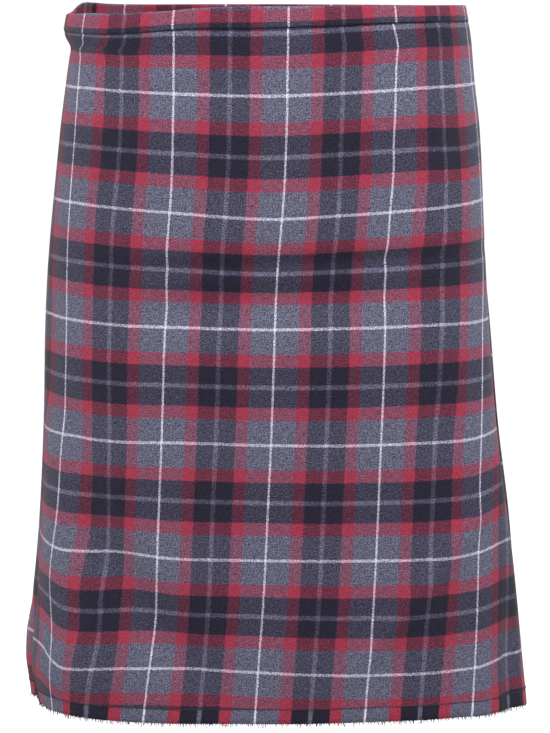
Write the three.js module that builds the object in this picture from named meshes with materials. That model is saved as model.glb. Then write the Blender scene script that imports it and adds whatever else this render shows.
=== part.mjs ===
// A pleated tartan skirt, filled out as it is when worn: a flat front apron, a knife-pleated back,
// and a narrow waistband in two pieces that laps and buttons at the left hip.
// Millimetres, +Z up. The origin is the centre of the waist opening, level with the top of the band;
// the front faces -Y and +X is to the right of someone who looks at the front.
import * as THREE from 'three'

// ---- driving sizes -------------------------------------------------------------------------
const LENGTH = 554 // top of the waistband to the hem, at the centre of the front
const CLOTH = 1.5 // wall of one layer of brushed twill
const BAND_CLOTH = 2.4 // the waistband is the same cloth folded double
const SEAM_GAP = 0.3 // pieces stand this far apart where they are sewn together

const RIGHT_SEAM = 3 // degrees round the form; 0 is the right side, -90 the front, 90 the back
const LEFT_SEAM = 150
const FRONT_CENTRE = -90
const BACK_SQUARENESS = 2.2 // exponent of the back's rounded outline

const FRONT_COLUMNS = 41
const BAND_COLUMNS = 37
const BACK_BAND_COLUMNS = 25

const PLEATS = 12
const CLOTH_PER_PLEAT = 60 // one visible panel and the two hidden layers under it
const PLEAT_PITCH = 2.3 // from one layer of a pleat to the next, wall and air
const PLEAT_SWING = 2 // how far a fold edge wanders from its place by the hem
const SWING_TURN = 1.9 // radians of that wandering from one pleat to the next
const BACK_HEM_LIFT = 4 // the pleated back hangs this much shorter than the front

const LAP_ANGLE = 16 // whole degrees past the left seam in which the lap ends
const LAP_LENGTH = 27 // the front band's end runs on over the back band
const LAP_RISE = 9 // length in which it climbs over the back band
const BUTTON_RADIUS = 7.5
const BUTTON_THICKNESS = 2.4
const BUTTON_INSET = 11 // from the end of the lap to the button's centre
const BUTTON_CLEARANCE = 1.2 // from the lap to the flat button's middle, so that its rim clears the curve
const BUTTON_HOLE_RADIUS = 0.9
const BUTTON_HOLE_OFFSET = 1.9

/** A table's rows as objects with the columns' names. */
const table = (columns, ...rows) =>
  rows.map((row) => Object.fromEntries(columns.map((key, i) => [key, row[i]])))

// Outlines of the hollow form, a row for each height. drop: below the top of the waistband. left,
// right: half widths. front, back: half depths. leftAt, rightAt: how far behind the waist's centre
// the widest point of each side lies. boxyLeft, boxyRight: exponents of the front's two quarters.
const SECTIONS = table(
  ['drop', 'left', 'right', 'front', 'back', 'leftAt', 'rightAt', 'boxyLeft', 'boxyRight'],
  [0, 158.5, 158.2, 96, 96, 0, 0, 2.1, 2.1],
  [14, 160.5, 160.2, 97, 98, 0, 0, 2.1, 2.1],
  [24, 159.8, 161.7, 98, 100, 0, 0, 2.1, 2.1],
  [34, 155.8, 162.7, 98, 101, 0, 0, 2.1, 2.1],
  [60, 158.6, 164.8, 98, 104, 0, -2, 2.1, 2.1],
  [100, 163.8, 169.2, 98, 108, 2, -4, 2.15, 2.1],
  [180, 171.5, 173.2, 98, 114, 6, -12, 2.2, 2.1],
  [250, 176.9, 176.9, 100, 118, 15, -22, 2.3, 2.1],
  [330, 179.8, 183.4, 104, 121, 17, -30, 2.45, 2.1],
  [400, 183.2, 192.6, 109, 124, 18, -34, 2.7, 2.1],
  [470, 188.3, 200.2, 116, 126, 24, -38, 3.1, 2.1],
  [520, 195.2, 205.3, 121, 127, 38, -40, 3.5, 2.1],
  [LENGTH, 190, 208.8, 124, 128, 55, -45, 3.6, 2.1],
)
const UNDER_BAND = SECTIONS[1].drop // the outline on which the waistband's lower edge lies

// The waist's edge, a row for each angle round the form. dip: how far the edge sags below the
// origin's height. band: height of the waistband there.
const WAIST = table(
  ['angle', 'dip', 'band'],
  [-180, 8.5, 12.0],
  [-160, 7.4, 14.2],
  [-150, 6.5, 15.5],
  [-141, 6.4, 15.4],
  [-134, 6.2, 15.0],
  [-122, 4.5, 14.6],
  [-116, 3.4, 14.3],
  [-108, 1.3, 15.1],
  [-95, 0.1, 16.0],
  [-76, -0.3, 14.8],
  [-55, -0.4, 12.8],
  [-25, 0.4, 12.2],
  [0, 1.6, 12.0],
  [40, 3.4, 12.6],
  [120, 3.3, 12.8],
  [130, 3.0, 13.2],
  [142, 2.2, 14.3],
  [151, 0.9, 16.0],
  [158, 0.6, 16.4],
  [163, 3.2, 14.4],
  [168, 6.8, 12.2],
  [174, 8.2, 11.8],
  [180, 8.5, 12.0],
)

// Soft vertical folds of the apron. across: arc from the front's centre line, negative to the left.
// spread: half width. reach: outwards, or inwards if negative. from: the drop where it starts.
const FOLDS = table(
  ['across', 'spread', 'reach', 'from'],
  [-229, 13, -6, 400],
  [-250, 12, 2.5, 400],
  [-273, 13, -5.5, 420],
  [-295, 12, 2, 420],
  [172, 17, 2.5, 380],
  [206, 18, -4, 380],
)

// Shares of a panel's height at which it has a row, from under the waistband down to its own hem, so
// that the edges of two panels that are sewn together run side by side.
const ROW_SHARES = [0, 0.02, 0.04, 0.085, 0.165, 0.31, 0.44, 0.585, 0.715, 0.845, 0.935, 1]

const TARTAN_BLUE_GREY = 0x5d5566
const CLOTH_ROUGHNESS = 0.95
const BUTTON_COLOUR = 0x2e2b3a
const BUTTON_ROUGHNESS = 0.4
const SHARPEST_MITRE = 0.5 // least cosine that a corner of a wall is mitred with

// ---- small helpers -------------------------------------------------------------------------
const radians = (degrees) => (degrees * Math.PI) / 180
const mix = (a, b, t) => a + (b - a) * t
const clamp01 = (t) => Math.min(1, Math.max(0, t))
const ease = (t) => clamp01(t) ** 2 * (3 - 2 * clamp01(t))
const signedPower = (value, power) => Math.sign(value) * Math.abs(value) ** power

/** Value of one column of a table at a place between its rows, on a smooth curve through them. */
function along(table, placeKey, valueKey, place) {
  let i = 0
  while (i < table.length - 2 && place > table[i + 1][placeKey]) i += 1
  const slopeAt = (k) => {
    const before = table[Math.max(0, k - 1)]
    const after = table[Math.min(table.length - 1, k + 1)]
    return (after[valueKey] - before[valueKey]) / (after[placeKey] - before[placeKey])
  }
  const [low, high] = [table[i], table[i + 1]]
  const step = high[placeKey] - low[placeKey]
  const t = clamp01((place - low[placeKey]) / step)
  const rise = high[valueKey] - low[valueKey]
  const curve = t * (1 - t) * ((1 - t) * (slopeAt(i) * step - rise) - t * (slopeAt(i + 1) * step - rise))
  return low[valueKey] + rise * t + curve
}

const section = (drop, column) => along(SECTIONS, 'drop', column, drop)
const waist = (angle, column) => along(WAIST, 'angle', column, angle < -180 ? angle + 360 : angle)

/** A point of the form's outline in plan: four quarters of rounded squares that meet at the sides. */
function outline(drop, angle) {
  const c = Math.cos(radians(angle))
  const s = Math.sin(radians(angle))
  const onLeft = c < 0
  const onFront = s < 0
  const frontSquareness = section(drop, onLeft ? 'boxyLeft' : 'boxyRight')
  const power = 2 / (onFront ? frontSquareness : BACK_SQUARENESS)
  const sideY = section(drop, onLeft ? 'leftAt' : 'rightAt')
  const endY = onFront ? -section(drop, 'front') : section(drop, 'back')
  const x = section(drop, onLeft ? 'left' : 'right') * signedPower(c, power)
  const y = sideY + (endY - sideY) * Math.abs(s) ** power
  return new THREE.Vector2(x, y)
}

/** The outline between two angles as a fine chain, with the arc length at each of its points. */
function chain(drop, fromAngle, toAngle) {
  const count = Math.ceil(Math.abs(toAngle - fromAngle))
  const points = []
  for (let i = 0; i <= count; i += 1) points.push(outline(drop, mix(fromAngle, toAngle, i / count)))
  const arcs = [0]
  for (let i = 1; i <= count; i += 1) arcs.push(arcs[i - 1] + points[i].distanceTo(points[i - 1]))
  return { points, arcs, length: arcs[count], fromAngle, toAngle }
}

/** The point, outward normal and angle at an arc length along a chain. */
function onChain(line, arc) {
  const last = line.arcs.length - 2
  let i = 0
  while (i < last && arc > line.arcs[i + 1]) i += 1
  const t = (arc - line.arcs[i]) / (line.arcs[i + 1] - line.arcs[i])
  const point = line.points[i].clone().lerp(line.points[i + 1], t)
  const normalAt = (k) => {
    const before = line.points[Math.max(0, k - 1)]
    const after = line.points[Math.min(last + 1, k + 1)]
    const run = after.clone().sub(before).normalize()
    return new THREE.Vector2(run.y, -run.x)
  }
  const normal = normalAt(i).lerp(normalAt(i + 1), clamp01(t)).normalize()
  const angle = mix(line.fromAngle, line.toAngle, (i + t) / (last + 1))
  return { point, normal, angle }
}

/** How far the apron's folds push its surface out at a place. */
function foldReach(across, drop) {
  let reach = 0
  for (const fold of FOLDS) {
    const near = Math.min(1, Math.abs(across - fold.across) / fold.spread)
    const grown = ease((drop - fold.from) / (LENGTH - fold.from))
    reach += fold.reach * grown * (0.5 + 0.5 * Math.cos(Math.PI * near))
  }
  return reach
}

/** A closed wall between two grids of points, rows from the top down, columns anticlockwise from above. */
function wall(outer, inner) {
  const rows = outer.length
  const columns = outer[0].length
  const positions = []
  for (const grid of [outer, inner]) {
    for (const row of grid) for (const p of row) positions.push(p.x, p.y, p.z)
  }
  const index = []
  const outerAt = (r, c) => r * columns + c
  const innerAt = (r, c) => (rows + r) * columns + c
  const end = columns - 1
  const foot = rows - 1
  const quad = (a, b, c, d) => index.push(a, b, c, a, c, d)
  for (let r = 0; r < foot; r += 1) {
    for (let c = 0; c < end; c += 1) {
      quad(outerAt(r, c), outerAt(r + 1, c), outerAt(r + 1, c + 1), outerAt(r, c + 1))
      quad(innerAt(r, c), innerAt(r, c + 1), innerAt(r + 1, c + 1), innerAt(r + 1, c))
    }
    quad(outerAt(r, 0), innerAt(r, 0), innerAt(r + 1, 0), outerAt(r + 1, 0))
    quad(outerAt(r + 1, end), innerAt(r + 1, end), innerAt(r, end), outerAt(r, end))
  }
  for (let c = 0; c < end; c += 1) {
    quad(outerAt(0, c), outerAt(0, c + 1), innerAt(0, c + 1), innerAt(0, c))
    quad(innerAt(foot, c), innerAt(foot, c + 1), outerAt(foot, c + 1), outerAt(foot, c))
  }
  const geometry = new THREE.BufferGeometry()
  geometry.setAttribute('position', new THREE.Float32BufferAttribute(positions, 3))
  geometry.setIndex(index)
  geometry.computeVertexNormals()
  return geometry
}

const lift = (point, z) => new THREE.Vector3(point.x, point.y, z)

/** Two faces of a wall along a row of places, moved outwards and inwards from it, with mitred corners. */
function bothFaces(places, outwards, inwards) {
  const last = places.length - 1
  const moved = (distance) => places.map(({ point, normal, z }, i) => {
    if (i === 0 || i === last) return lift(point.clone().addScaledVector(normal, distance), z)
    const next = places[i + 1].point.clone().sub(point).normalize()
    const previous = point.clone().sub(places[i - 1].point).normalize()
    const run = next.clone().add(previous).normalize()
    const reach = distance / Math.max(SHARPEST_MITRE, run.dot(next))
    return lift(point.clone().add(new THREE.Vector2(run.y, -run.x).multiplyScalar(reach)), z)
  })
  return { outer: moved(outwards), inner: moved(-inwards) }
}

function wallFromRows(rowsOfPlaces, outwards, inwards) {
  const faces = rowsOfPlaces.map((places) => bothFaces(places, outwards, inwards))
  return wall(faces.map((face) => face.outer), faces.map((face) => face.inner))
}

function piece(name, geometry, color, roughness) {
  const mesh = new THREE.Mesh(geometry, new THREE.MeshStandardMaterial({ color, roughness, metalness: 0 }))
  mesh.name = name
  return mesh
}

// ---- panels --------------------------------------------------------------------------------
const panelTop = (angle) => waist(angle, 'dip') + waist(angle, 'band') + SEAM_GAP

/** Rows of places on a panel. placeAt gives a column's arc and stand-off on the outline of one height. */
function panelRows(fromAngle, toAngle, columns, placeAt, hemAt) {
  const topLine = chain(UNDER_BAND, fromAngle, toAngle)
  return ROW_SHARES.map((share) => {
    const places = []
    for (let c = 0; c < columns; c += 1) {
      const topArc = placeAt(topLine, UNDER_BAND, c).arc
      const { angle } = onChain(topLine, topArc)
      const height = mix(panelTop(angle), hemAt(topArc / topLine.length), share)
      const line = chain(height, fromAngle, toAngle)
      const { arc, out } = placeAt(line, height, c)
      const { point, normal } = onChain(line, arc)
      point.addScaledVector(normal, out)
      places.push({ point, normal, z: -height })
    }
    return places
  })
}

// The front apron's columns run anticlockwise seen from above: from the left seam to the right seam.
const frontFrom = LEFT_SEAM - 360

function frontPanel() {
  const placeAt = (line, height, c) => {
    const arc = (line.length * c) / (FRONT_COLUMNS - 1)
    const centreArc = chain(height, frontFrom, FRONT_CENTRE).length
    return { arc, out: foldReach(arc - centreArc, height) }
  }
  return wallFromRows(panelRows(frontFrom, RIGHT_SEAM, FRONT_COLUMNS, placeAt, () => LENGTH), 0, CLOTH)
}

/** Route of the pleated cloth at one height: distance from the right seam, and depth of its middle. */
function pleatRoute(length, drop) {
  const visible = length / (PLEATS + 1)
  const under = (CLOTH_PER_PLEAT - visible) / 2
  const radius = PLEAT_PITCH / 2
  const slope = (2 * PLEAT_PITCH) / visible
  const isFold = (k) => k > 0 && k <= PLEATS
  const swing = (k) => (isFold(k) ? (PLEAT_SWING * Math.sin(SWING_TURN * k) * drop) / LENGTH : 0)
  const edge = (k) => k * visible + swing(k)
  const route = []
  const bend = (at, depth, turn) => {
    for (const a of [-Math.PI / 6, Math.PI / 6]) {
      route.push([at + turn * radius * Math.cos(a), depth - radius * Math.sin(a)])
    }
  }
  for (let k = 0; k <= PLEATS; k += 1) {
    const isLast = k === PLEATS
    const start = edge(k)
    const next = edge(k + 1)
    const tilt = isLast ? 0 : slope
    for (const stop of [start, start + under, next]) route.push([stop, (stop - start) * tilt])
    if (isLast) break
    const deepest = (next + under - start) * tilt
    route.push([next + under, deepest])
    bend(next + under, deepest - radius, 1)
    route.push([next + under, deepest - PLEAT_PITCH])
    route.push([next, PLEAT_PITCH])
    bend(next, radius, -1)
  }
  return route
}

function backPanel() {
  const columns = pleatRoute(1, 0).length
  const hemAt = (share) => LENGTH - BACK_HEM_LIFT * Math.sin(Math.PI * share)
  const placeAt = (line, height, c) => {
    const [distance, depth] = pleatRoute(line.length - 2 * SEAM_GAP, height)[c]
    return { arc: distance + SEAM_GAP, out: -depth - CLOTH / 2 }
  }
  return wallFromRows(panelRows(RIGHT_SEAM, LEFT_SEAM, columns, placeAt, hemAt), CLOTH / 2, CLOTH / 2)
}

// ---- waistband -----------------------------------------------------------------------------
/** A stretch of waistband: stopsOn gives its arcs on one outline, standOff how far it lies out there. */
function band(fromAngle, toAngle, stopsOn, standOff) {
  const edge = (drop, share) => {
    const line = chain(drop, fromAngle, toAngle)
    return stopsOn(line).map((arc) => {
      const { point, normal, angle } = onChain(line, arc)
      point.addScaledVector(normal, standOff(line, arc))
      return { point, normal, z: -(waist(angle, 'dip') + share * waist(angle, 'band')) }
    })
  }
  return wallFromRows([edge(0, 0), edge(UNDER_BAND, 1)], 0, BAND_CLOTH)
}

const evenly = (from, to, count) => Array.from({ length: count }, (_, i) => mix(from, to, i / (count - 1)))

// The front band starts as the lap, outside the back band, and comes down to the apron past the seam.
const lapFrom = frontFrom - LAP_ANGLE
const seamOn = (line) => line.arcs[LAP_ANGLE]

function frontBand() {
  const stopsOn = (line) => {
    const seam = seamOn(line)
    const lap = evenly(seam - LAP_LENGTH, seam, 4)
    const climb = [seam + LAP_RISE / 3, seam + (2 * LAP_RISE) / 3]
    return [...lap, ...climb, ...evenly(seam + LAP_RISE, line.length, BAND_COLUMNS)]
  }
  const overBackBand = BAND_CLOTH + 2 * SEAM_GAP
  const standOff = (line, arc) => overBackBand * (1 - ease((arc - seamOn(line)) / LAP_RISE))
  return band(lapFrom, RIGHT_SEAM, stopsOn, standOff)
}

function backBand() {
  const stopsOn = (line) => evenly(SEAM_GAP, line.length - SEAM_GAP, BACK_BAND_COLUMNS)
  return band(RIGHT_SEAM, LEFT_SEAM, stopsOn, () => 0)
}

// ---- button --------------------------------------------------------------------------------
function button() {
  const disc = new THREE.Shape().absarc(0, 0, BUTTON_RADIUS, 0, 2 * Math.PI)
  for (const x of [-BUTTON_HOLE_OFFSET, BUTTON_HOLE_OFFSET]) {
    for (const y of [-BUTTON_HOLE_OFFSET, BUTTON_HOLE_OFFSET]) {
      disc.holes.push(new THREE.Path().absarc(x, y, BUTTON_HOLE_RADIUS, 0, 2 * Math.PI, true))
    }
  }
  return new THREE.ExtrudeGeometry(disc, { depth: BUTTON_THICKNESS, bevelEnabled: false, curveSegments: 5 })
}

/** Stands a piece that faces +Z on the lap's outer face, at the middle of the band's height. */
function onLap(mesh) {
  const line = chain(UNDER_BAND / 2, lapFrom, frontFrom)
  const { point, normal, angle } = onChain(line, line.length - LAP_LENGTH + BUTTON_INSET)
  point.addScaledVector(normal, BAND_CLOTH + 2 * SEAM_GAP + BUTTON_CLEARANCE)
  const z = -(waist(angle, 'dip') + waist(angle, 'band') / 2)
  mesh.up.set(0, 0, 1)
  mesh.position.set(point.x, point.y, z)
  mesh.lookAt(point.x + normal.x, point.y + normal.y, z)
  return mesh
}

// ---- assembly ------------------------------------------------------------------------------
const skirt = new THREE.Group()
skirt.add(piece('front_apron', frontPanel(), TARTAN_BLUE_GREY, CLOTH_ROUGHNESS))
skirt.add(piece('pleated_back', backPanel(), TARTAN_BLUE_GREY, CLOTH_ROUGHNESS))
skirt.add(piece('waistband_front', frontBand(), TARTAN_BLUE_GREY, CLOTH_ROUGHNESS))
skirt.add(piece('waistband_back', backBand(), TARTAN_BLUE_GREY, CLOTH_ROUGHNESS))
skirt.add(onLap(piece('hip_button', button(), BUTTON_COLOUR, BUTTON_ROUGHNESS)))

export default skirt
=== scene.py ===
"""A pleated tartan skirt in the shape that it has when worn: cloth, hem, seams and button.

The form's sizes, tables and functions are in millimetres. Settings, meshes, cloth coordinates, the camera
and the lights are in metres. The front faces -Y, +X is to the right of someone who looks at the front,
and the waist is at the top.
"""
import math

import bmesh
import bpy
import numpy as np
from bpy.props import FloatProperty, FloatVectorProperty, IntProperty, PointerProperty
from bpy.types import Operator, Panel, PropertyGroup
from mathutils import Matrix, Vector


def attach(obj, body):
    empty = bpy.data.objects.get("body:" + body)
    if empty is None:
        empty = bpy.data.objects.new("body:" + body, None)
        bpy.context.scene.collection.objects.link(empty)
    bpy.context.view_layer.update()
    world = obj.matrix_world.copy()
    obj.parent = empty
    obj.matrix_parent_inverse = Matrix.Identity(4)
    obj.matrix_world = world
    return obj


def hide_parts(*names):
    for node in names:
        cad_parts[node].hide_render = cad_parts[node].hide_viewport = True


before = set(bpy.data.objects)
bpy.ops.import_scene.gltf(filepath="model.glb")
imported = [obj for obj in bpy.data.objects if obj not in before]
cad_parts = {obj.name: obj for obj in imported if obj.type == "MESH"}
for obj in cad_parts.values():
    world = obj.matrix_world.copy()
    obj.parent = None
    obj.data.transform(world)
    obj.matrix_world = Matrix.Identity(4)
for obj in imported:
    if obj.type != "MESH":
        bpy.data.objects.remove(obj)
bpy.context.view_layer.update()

bl_info = {
    "name": "Pleated tartan skirt",
    "version": (1, 0, 0),
    "blender": (4, 5, 0),
    "location": "View3D > Sidebar > Skirt",
    "description": "Builds the cloth, hem, seams and button of a pleated tartan skirt",
    "category": "Object",
}

MM = 0.001

# ---- sizes of the form, in millimetres and degrees ----------------------------------------------
# An angle runs round the form from +X towards +Y, which is the back.
LENGTH = 554  # from the waist down to the hem
SEAM_GAP = 0.3  # left open along each seam
RIGHT_SEAM = 3  # where the back begins
LEFT_SEAM = 150  # where the back ends
FRONT_FROM = LEFT_SEAM - 360  # the left seam again, where the front begins
FRONT_CENTRE = -90
STEPS_PER_DEGREE = 2  # fineness of an outline
BACK_SQUARENESS = 2.2  # exponent of the back's outline
LAP_ANGLE = 16  # the outline for the lap runs on by this angle past the left seam
LAP_LENGTH = 27
LAP_RISE = 9  # length over which the front band comes down from the lap
LAP_STAND_OFF = 3.0  # how far the lap's face lies outside the form
LAP_STEP = 1.5  # width of the lap's mesh cells
FRONT_BAND_COLUMNS = 150  # mesh columns of the front band past the lap
BACK_BAND_COLUMNS = 120
BUTTON_INSET = 11  # from the lap's end to the button's middle
BUTTON_DROP = 0.5  # the button's middle lies this far below the lap's
PLEATS = 12
CLOTH_PER_PLEAT = 60
PLEAT_PITCH = 2.3  # from one layer of a pleat to the next
PLEAT_SWING = 2  # how far a pleat's edge hangs aside at the hem
SWING_TURN = 1.9  # radians from one pleat's swing to the next one's
HIDDEN_STEPS = 4  # mesh cells across each hidden layer of a pleat
SHOWN_STEPS = 5  # and across the rest of the layer that shows
BEND_TURNS = (-60, -30, 0, 30, 60)  # directions of the points round a pleat's folded edge
BACK_HEM_LIFT = 4  # how much higher the back's hem hangs in its middle
SIDE_HEM_LIFT = 9  # and how much higher at the left seam
SIDE_LIFT_FROM = 0.9  # share of the back's width at which that lift begins
SIDE_LIFT_OVER = 0.07  # share of its width over which it grows
APRON_WIDTH = 620  # about the apron's width at the hem, for the number of its columns
APRON_WAVES = 0.35  # height of the apron's uneven waves
BACK_WAVES = 0.5
BACK_WAVES_AT = 700  # the back takes its waves from this far along, where they differ from the apron's
APRON_RELIEF_START = 20  # distance below the waistband over which the creases set in
BACK_RELIEF_START = 40
FRONT_TUCK = 2.0  # how far the apron turns in under the waistband, in its middle
FRONT_TUCK_LOSS = 1.4  # how much less it turns in at the sides
TUCK_MIDDLE = -5  # place across of the deeper tuck
TUCK_HALF_WIDTH = 125
TUCK_FADE = 30
BACK_TUCK = 0.8
TUCK_REACH = 4.5  # distance below the waistband over which a panel turns in
PUCKER_LENGTH = 2.6  # length of a pucker, to a radian
PUCKER_DRIFT = 19  # length over which the puckers grow longer and shorter, to a radian
PUCKER_DEPTH = 0.2
PUCKER_REACH = 7  # distance below the waistband over which the stitches' puckers fade
LEVEL_STEP = 4  # the form is looked up at outlines this far apart
MEASURE_STEP = 8  # and measured at outlines this far apart
TOP_FINENESS = 0.7  # how much closer the panels' rows lie under the waistband, where they tuck in
TOP_CROWDING = 8  # a higher number makes the rows even again sooner
EDGE_ROUNDING = 0.42  # how far a cloth's edge is rounded out, as a share of its thickness
BAND_STEPS = (0.08, 0.25, 0.5, 0.75)  # rows of a band's layer, as shares of its height
BAND_TURNS = (30, 60, 90, 120, 150)  # directions of the rows round a band's folded edge


def table(columns, *rows):
    """The columns of a table by name."""
    return {name: np.array(values, float) for name, values in zip(columns.split(), zip(*rows))}


# Outlines of the hollow form. drop: below the top of the waistband. left, right, front, back: half
# widths and depths. left_at, right_at: how far back the widest point of each side lies. boxy_left,
# boxy_right: exponents of the front's two quarters.
SECTIONS = table(
    "drop left right front back left_at right_at boxy_left boxy_right",
    (0, 158.5, 158.2, 96, 96, 0, 0, 2.1, 2.1),
    (14, 160.5, 160.2, 97, 98, 0, 0, 2.1, 2.1),
    (24, 159.8, 161.7, 98, 100, 0, 0, 2.1, 2.1),
    (34, 155.8, 162.7, 98, 101, 0, 0, 2.1, 2.1),
    (60, 158.6, 164.8, 98, 104, 0, -2, 2.1, 2.1),
    (100, 163.8, 169.2, 98, 108, 2, -4, 2.15, 2.1),
    (180, 171.5, 173.2, 98, 114, 6, -12, 2.2, 2.1),
    (250, 176.9, 176.9, 100, 118, 15, -22, 2.3, 2.1),
    (330, 179.8, 183.4, 104, 121, 17, -30, 2.45, 2.1),
    (400, 183.2, 192.6, 109, 124, 18, -34, 2.7, 2.1),
    (470, 188.3, 200.2, 116, 126, 24, -38, 3.1, 2.1),
    (520, 195.2, 205.3, 121, 127, 38, -40, 3.5, 2.1),
    (LENGTH, 190, 208.8, 124, 128, 55, -45, 3.6, 2.1),
)
UNDER_BAND = 14  # the outline on which the waistband's lower edge lies

# The waist's edge round the form: how far it sags below the origin, and the waistband's height.
WAIST = table(
    "angle dip band",
    (-180, 8.5, 12.0),
    (-160, 7.4, 14.2),
    (-150, 6.5, 15.5),
    (-141, 6.4, 15.4),
    (-134, 6.2, 15.0),
    (-122, 4.5, 14.6),
    (-116, 3.4, 14.3),
    (-108, 1.3, 15.1),
    (-95, 0.1, 16.0),
    (-76, -0.3, 14.8),
    (-55, -0.4, 12.8),
    (-25, 0.4, 12.2),
    (0, 1.6, 12.0),
    (40, 3.4, 12.6),
    (120, 3.3, 12.8),
    (130, 3.0, 13.2),
    (142, 2.2, 14.3),
    (151, 0.9, 16.0),
    (158, 0.6, 16.4),
    (163, 3.2, 14.4),
    (168, 6.8, 12.2),
    (174, 8.2, 11.8),
    (180, 8.5, 12.0),
)

# Soft vertical folds of the apron. across: from the front's centre line. reach: outwards or inwards.
FOLDS = table(
    "across spread reach from",
    (-229, 13, -6, 400),
    (-250, 12, 2.5, 400),
    (-273, 13, -5.5, 420),
    (-295, 12, 2, 420),
    (172, 17, 2.5, 380),
    (206, 18, -4, 380),
)

# Creases and swellings of the apron. across, drop: its middle. length, width: half sizes, along and
# over it. lean: degrees that its top leans to the right. amount: outwards or inwards.
APRON_CREASES = table(
    "across drop length width lean amount",
    (-176, 34, 30, 4, 84, -1.7),
    (-172, 26, 26, 5, 86, 0.8),
    (-120, 44, 40, 9, 70, -0.5),
    (-150, 110, 60, 16, -24, 0.8),
    (-60, 150, 90, 22, 12, -0.7),
    (60, 108, 100, 13, 86, -1.6),
    (22, 198, 150, 6.5, 88, -4.4),
    (-5, 227, 88, 19, 86, -8.2),
    (100, 224, 70, 14, 78, -2.2),
    (-58, 65, 75, 7, 80, -1.2),
    (-10, 172, 90, 22, 80, 1.8),
    (95, 196, 60, 14, 94, -1.2),
    (120, 120, 90, 20, 14, -0.7),
    (158, 330, 140, 14, -5, 0.9),
    (-110, 290, 90, 24, 9, 0.8),
    (-30, 400, 110, 20, -5, -0.8),
    (90, 440, 120, 22, 6, -0.9),
    (-98, 464, 85, 19, -40, -8.0),
    (-147, 362, 50, 10, -28, -2.6),
    (126, 452, 84, 10, 41, 4.2),
    (20, 520, 60, 16, 0, 1.0),
    (-70, 520, 55, 15, 4, 0.9),
    (128, 520, 60, 16, -3, 0.9),
    (225, 300, 120, 14, 4, -1.2),
    (-215, 260, 130, 16, -5, 1.2),
    (-241, 512, 34, 15, 0, -2.8),
    (-250, 190, 110, 15, 4, -1.3),
)

# Swellings of the pleated back, which all its layers follow. across is the arc from the right seam.
BACK_CREASES = table(
    "across drop length width lean amount",
    (9, 335, 120, 11, 0, 3.2),
    (70, 120, 90, 26, 6, -1.2),
    (130, 260, 140, 30, -4, 1.6),
    (205, 150, 110, 34, 5, -1.4),
    (250, 420, 130, 30, 3, 2.2),
    (330, 260, 150, 32, -5, -1.6),
    (370, 470, 100, 26, 2, 1.8),
    (110, 500, 90, 24, -3, -1.8),
    (180, 520, 70, 22, 2, 1.6),
)

# Where the cloth's stripes lie aside from the even spacing between its white lines. amount: to the
# right for the warp, and down for the weft.
WARP_SLIPS = table(
    "across drop length width lean amount",
    (-122, 80, 70, 32, 0, 2.4),
    (-136, 405, 95, 34, 0, 7.0),
    (-155, 535, 48, 24, 0, -7.0),
    (-202, 262, 60, 15, 0, 3.0),
    (-205, 370, 50, 15, 0, -6.0),
    (-205, 485, 30, 15, 0, 7.0),
    (116, 188, 50, 22, 0, -2.8),
    (150, 275, 50, 18, 0, 2.6),
    (147, 440, 90, 16, 0, 1.9),
    (202, 455, 95, 22, 0, -8.0),
)
WEFT_SLIPS = table(
    "across drop length width lean amount",
    (168, 104, 36, 30, 0, 2.8),
    (205, 395, 60, 26, 0, -2.2),
)

# Where the warp's white lines lie on the apron, in arc from the front's centre, for each drop.
WARP_LINES = table(
    "drop line1 line2 line3 line4 line5",
    (0, -155.0, -71.9, 17.1, 101.9, 183.0),
    (14, -155.2, -71.9, 17.0, 100.8, 184.5),
    (22, -156.8, -72.0, 16.9, 102.5, 185.5),
    (30, -160.8, -72.1, 16.7, 104.3, 186.5),
    (34, -168.6, -72.2, 16.5, 103.8, 187.5),
    (39, -165.4, -72.3, 16.4, 103.2, 187.5),
    (48, -165.2, -72.4, 16.3, 102.6, 188.0),
    (90, -165.2, -72.8, 15.8, 101.4, 192.5),
    (140, -169.0, -74.3, 13.8, 99.8, 195.0),
    (200, -172.0, -78.2, 9.0, 95.6, 193.0),
    (250, -172.0, -79.7, 6.6, 93.2, 185.5),
    (300, -173.5, -81.0, 5.0, 91.4, 181.0),
    (350, -179.0, -83.0, 3.0, 89.2, 177.0),
    (400, -182.5, -85.0, 0.6, 87.2, 173.6),
    (455, -190.0, -87.2, -2.1, 84.5, 171.0),
    (500, -179.0, -90.4, -5.4, 81.3, 168.2),
    (LENGTH, -181.5, -96.5, -9.2, 76.8, 164.0),
)

# The drop of the weft's white lines on the apron, for each place across. thin: the fine grey line
# in the black stripe that lies under the waistband.
WEFT_LINES = table(
    "across thin line1 line2 line3 line4 line5 line6",
    (-235, 21.5, 64.0, 153.0, 244.0, 332.5, 418.0, 501.5),
    (-195, 21.6, 64.2, 153.5, 245.0, 336.6, 425.0, 504.0),
    (-176, 22.0, 64.2, 153.9, 245.6, 337.2, 426.8, 512.8),
    (-158, 22.8, 64.2, 154.3, 246.1, 337.4, 425.8, 517.0),
    (-115, 22.8, 65.6, 156.4, 247.2, 337.8, 423.8, 512.7),
    (-70, 20.5, 66.8, 158.7, 247.5, 336.7, 426.6, 512.1),
    (0, 20.4, 68.0, 162.6, 248.4, 338.0, 427.5, 514.4),
    (60, 17.7, 66.1, 160.2, 247.9, 338.8, 428.5, 517.2),
    (130, 15.2, 63.1, 157.2, 247.4, 338.9, 429.5, 518.0),
    (170, 16.0, 62.2, 155.0, 247.8, 338.5, 427.6, 516.2),
    (205, 16.0, 62.0, 153.0, 247.2, 334.8, 424.3, 511.8),
)

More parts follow.
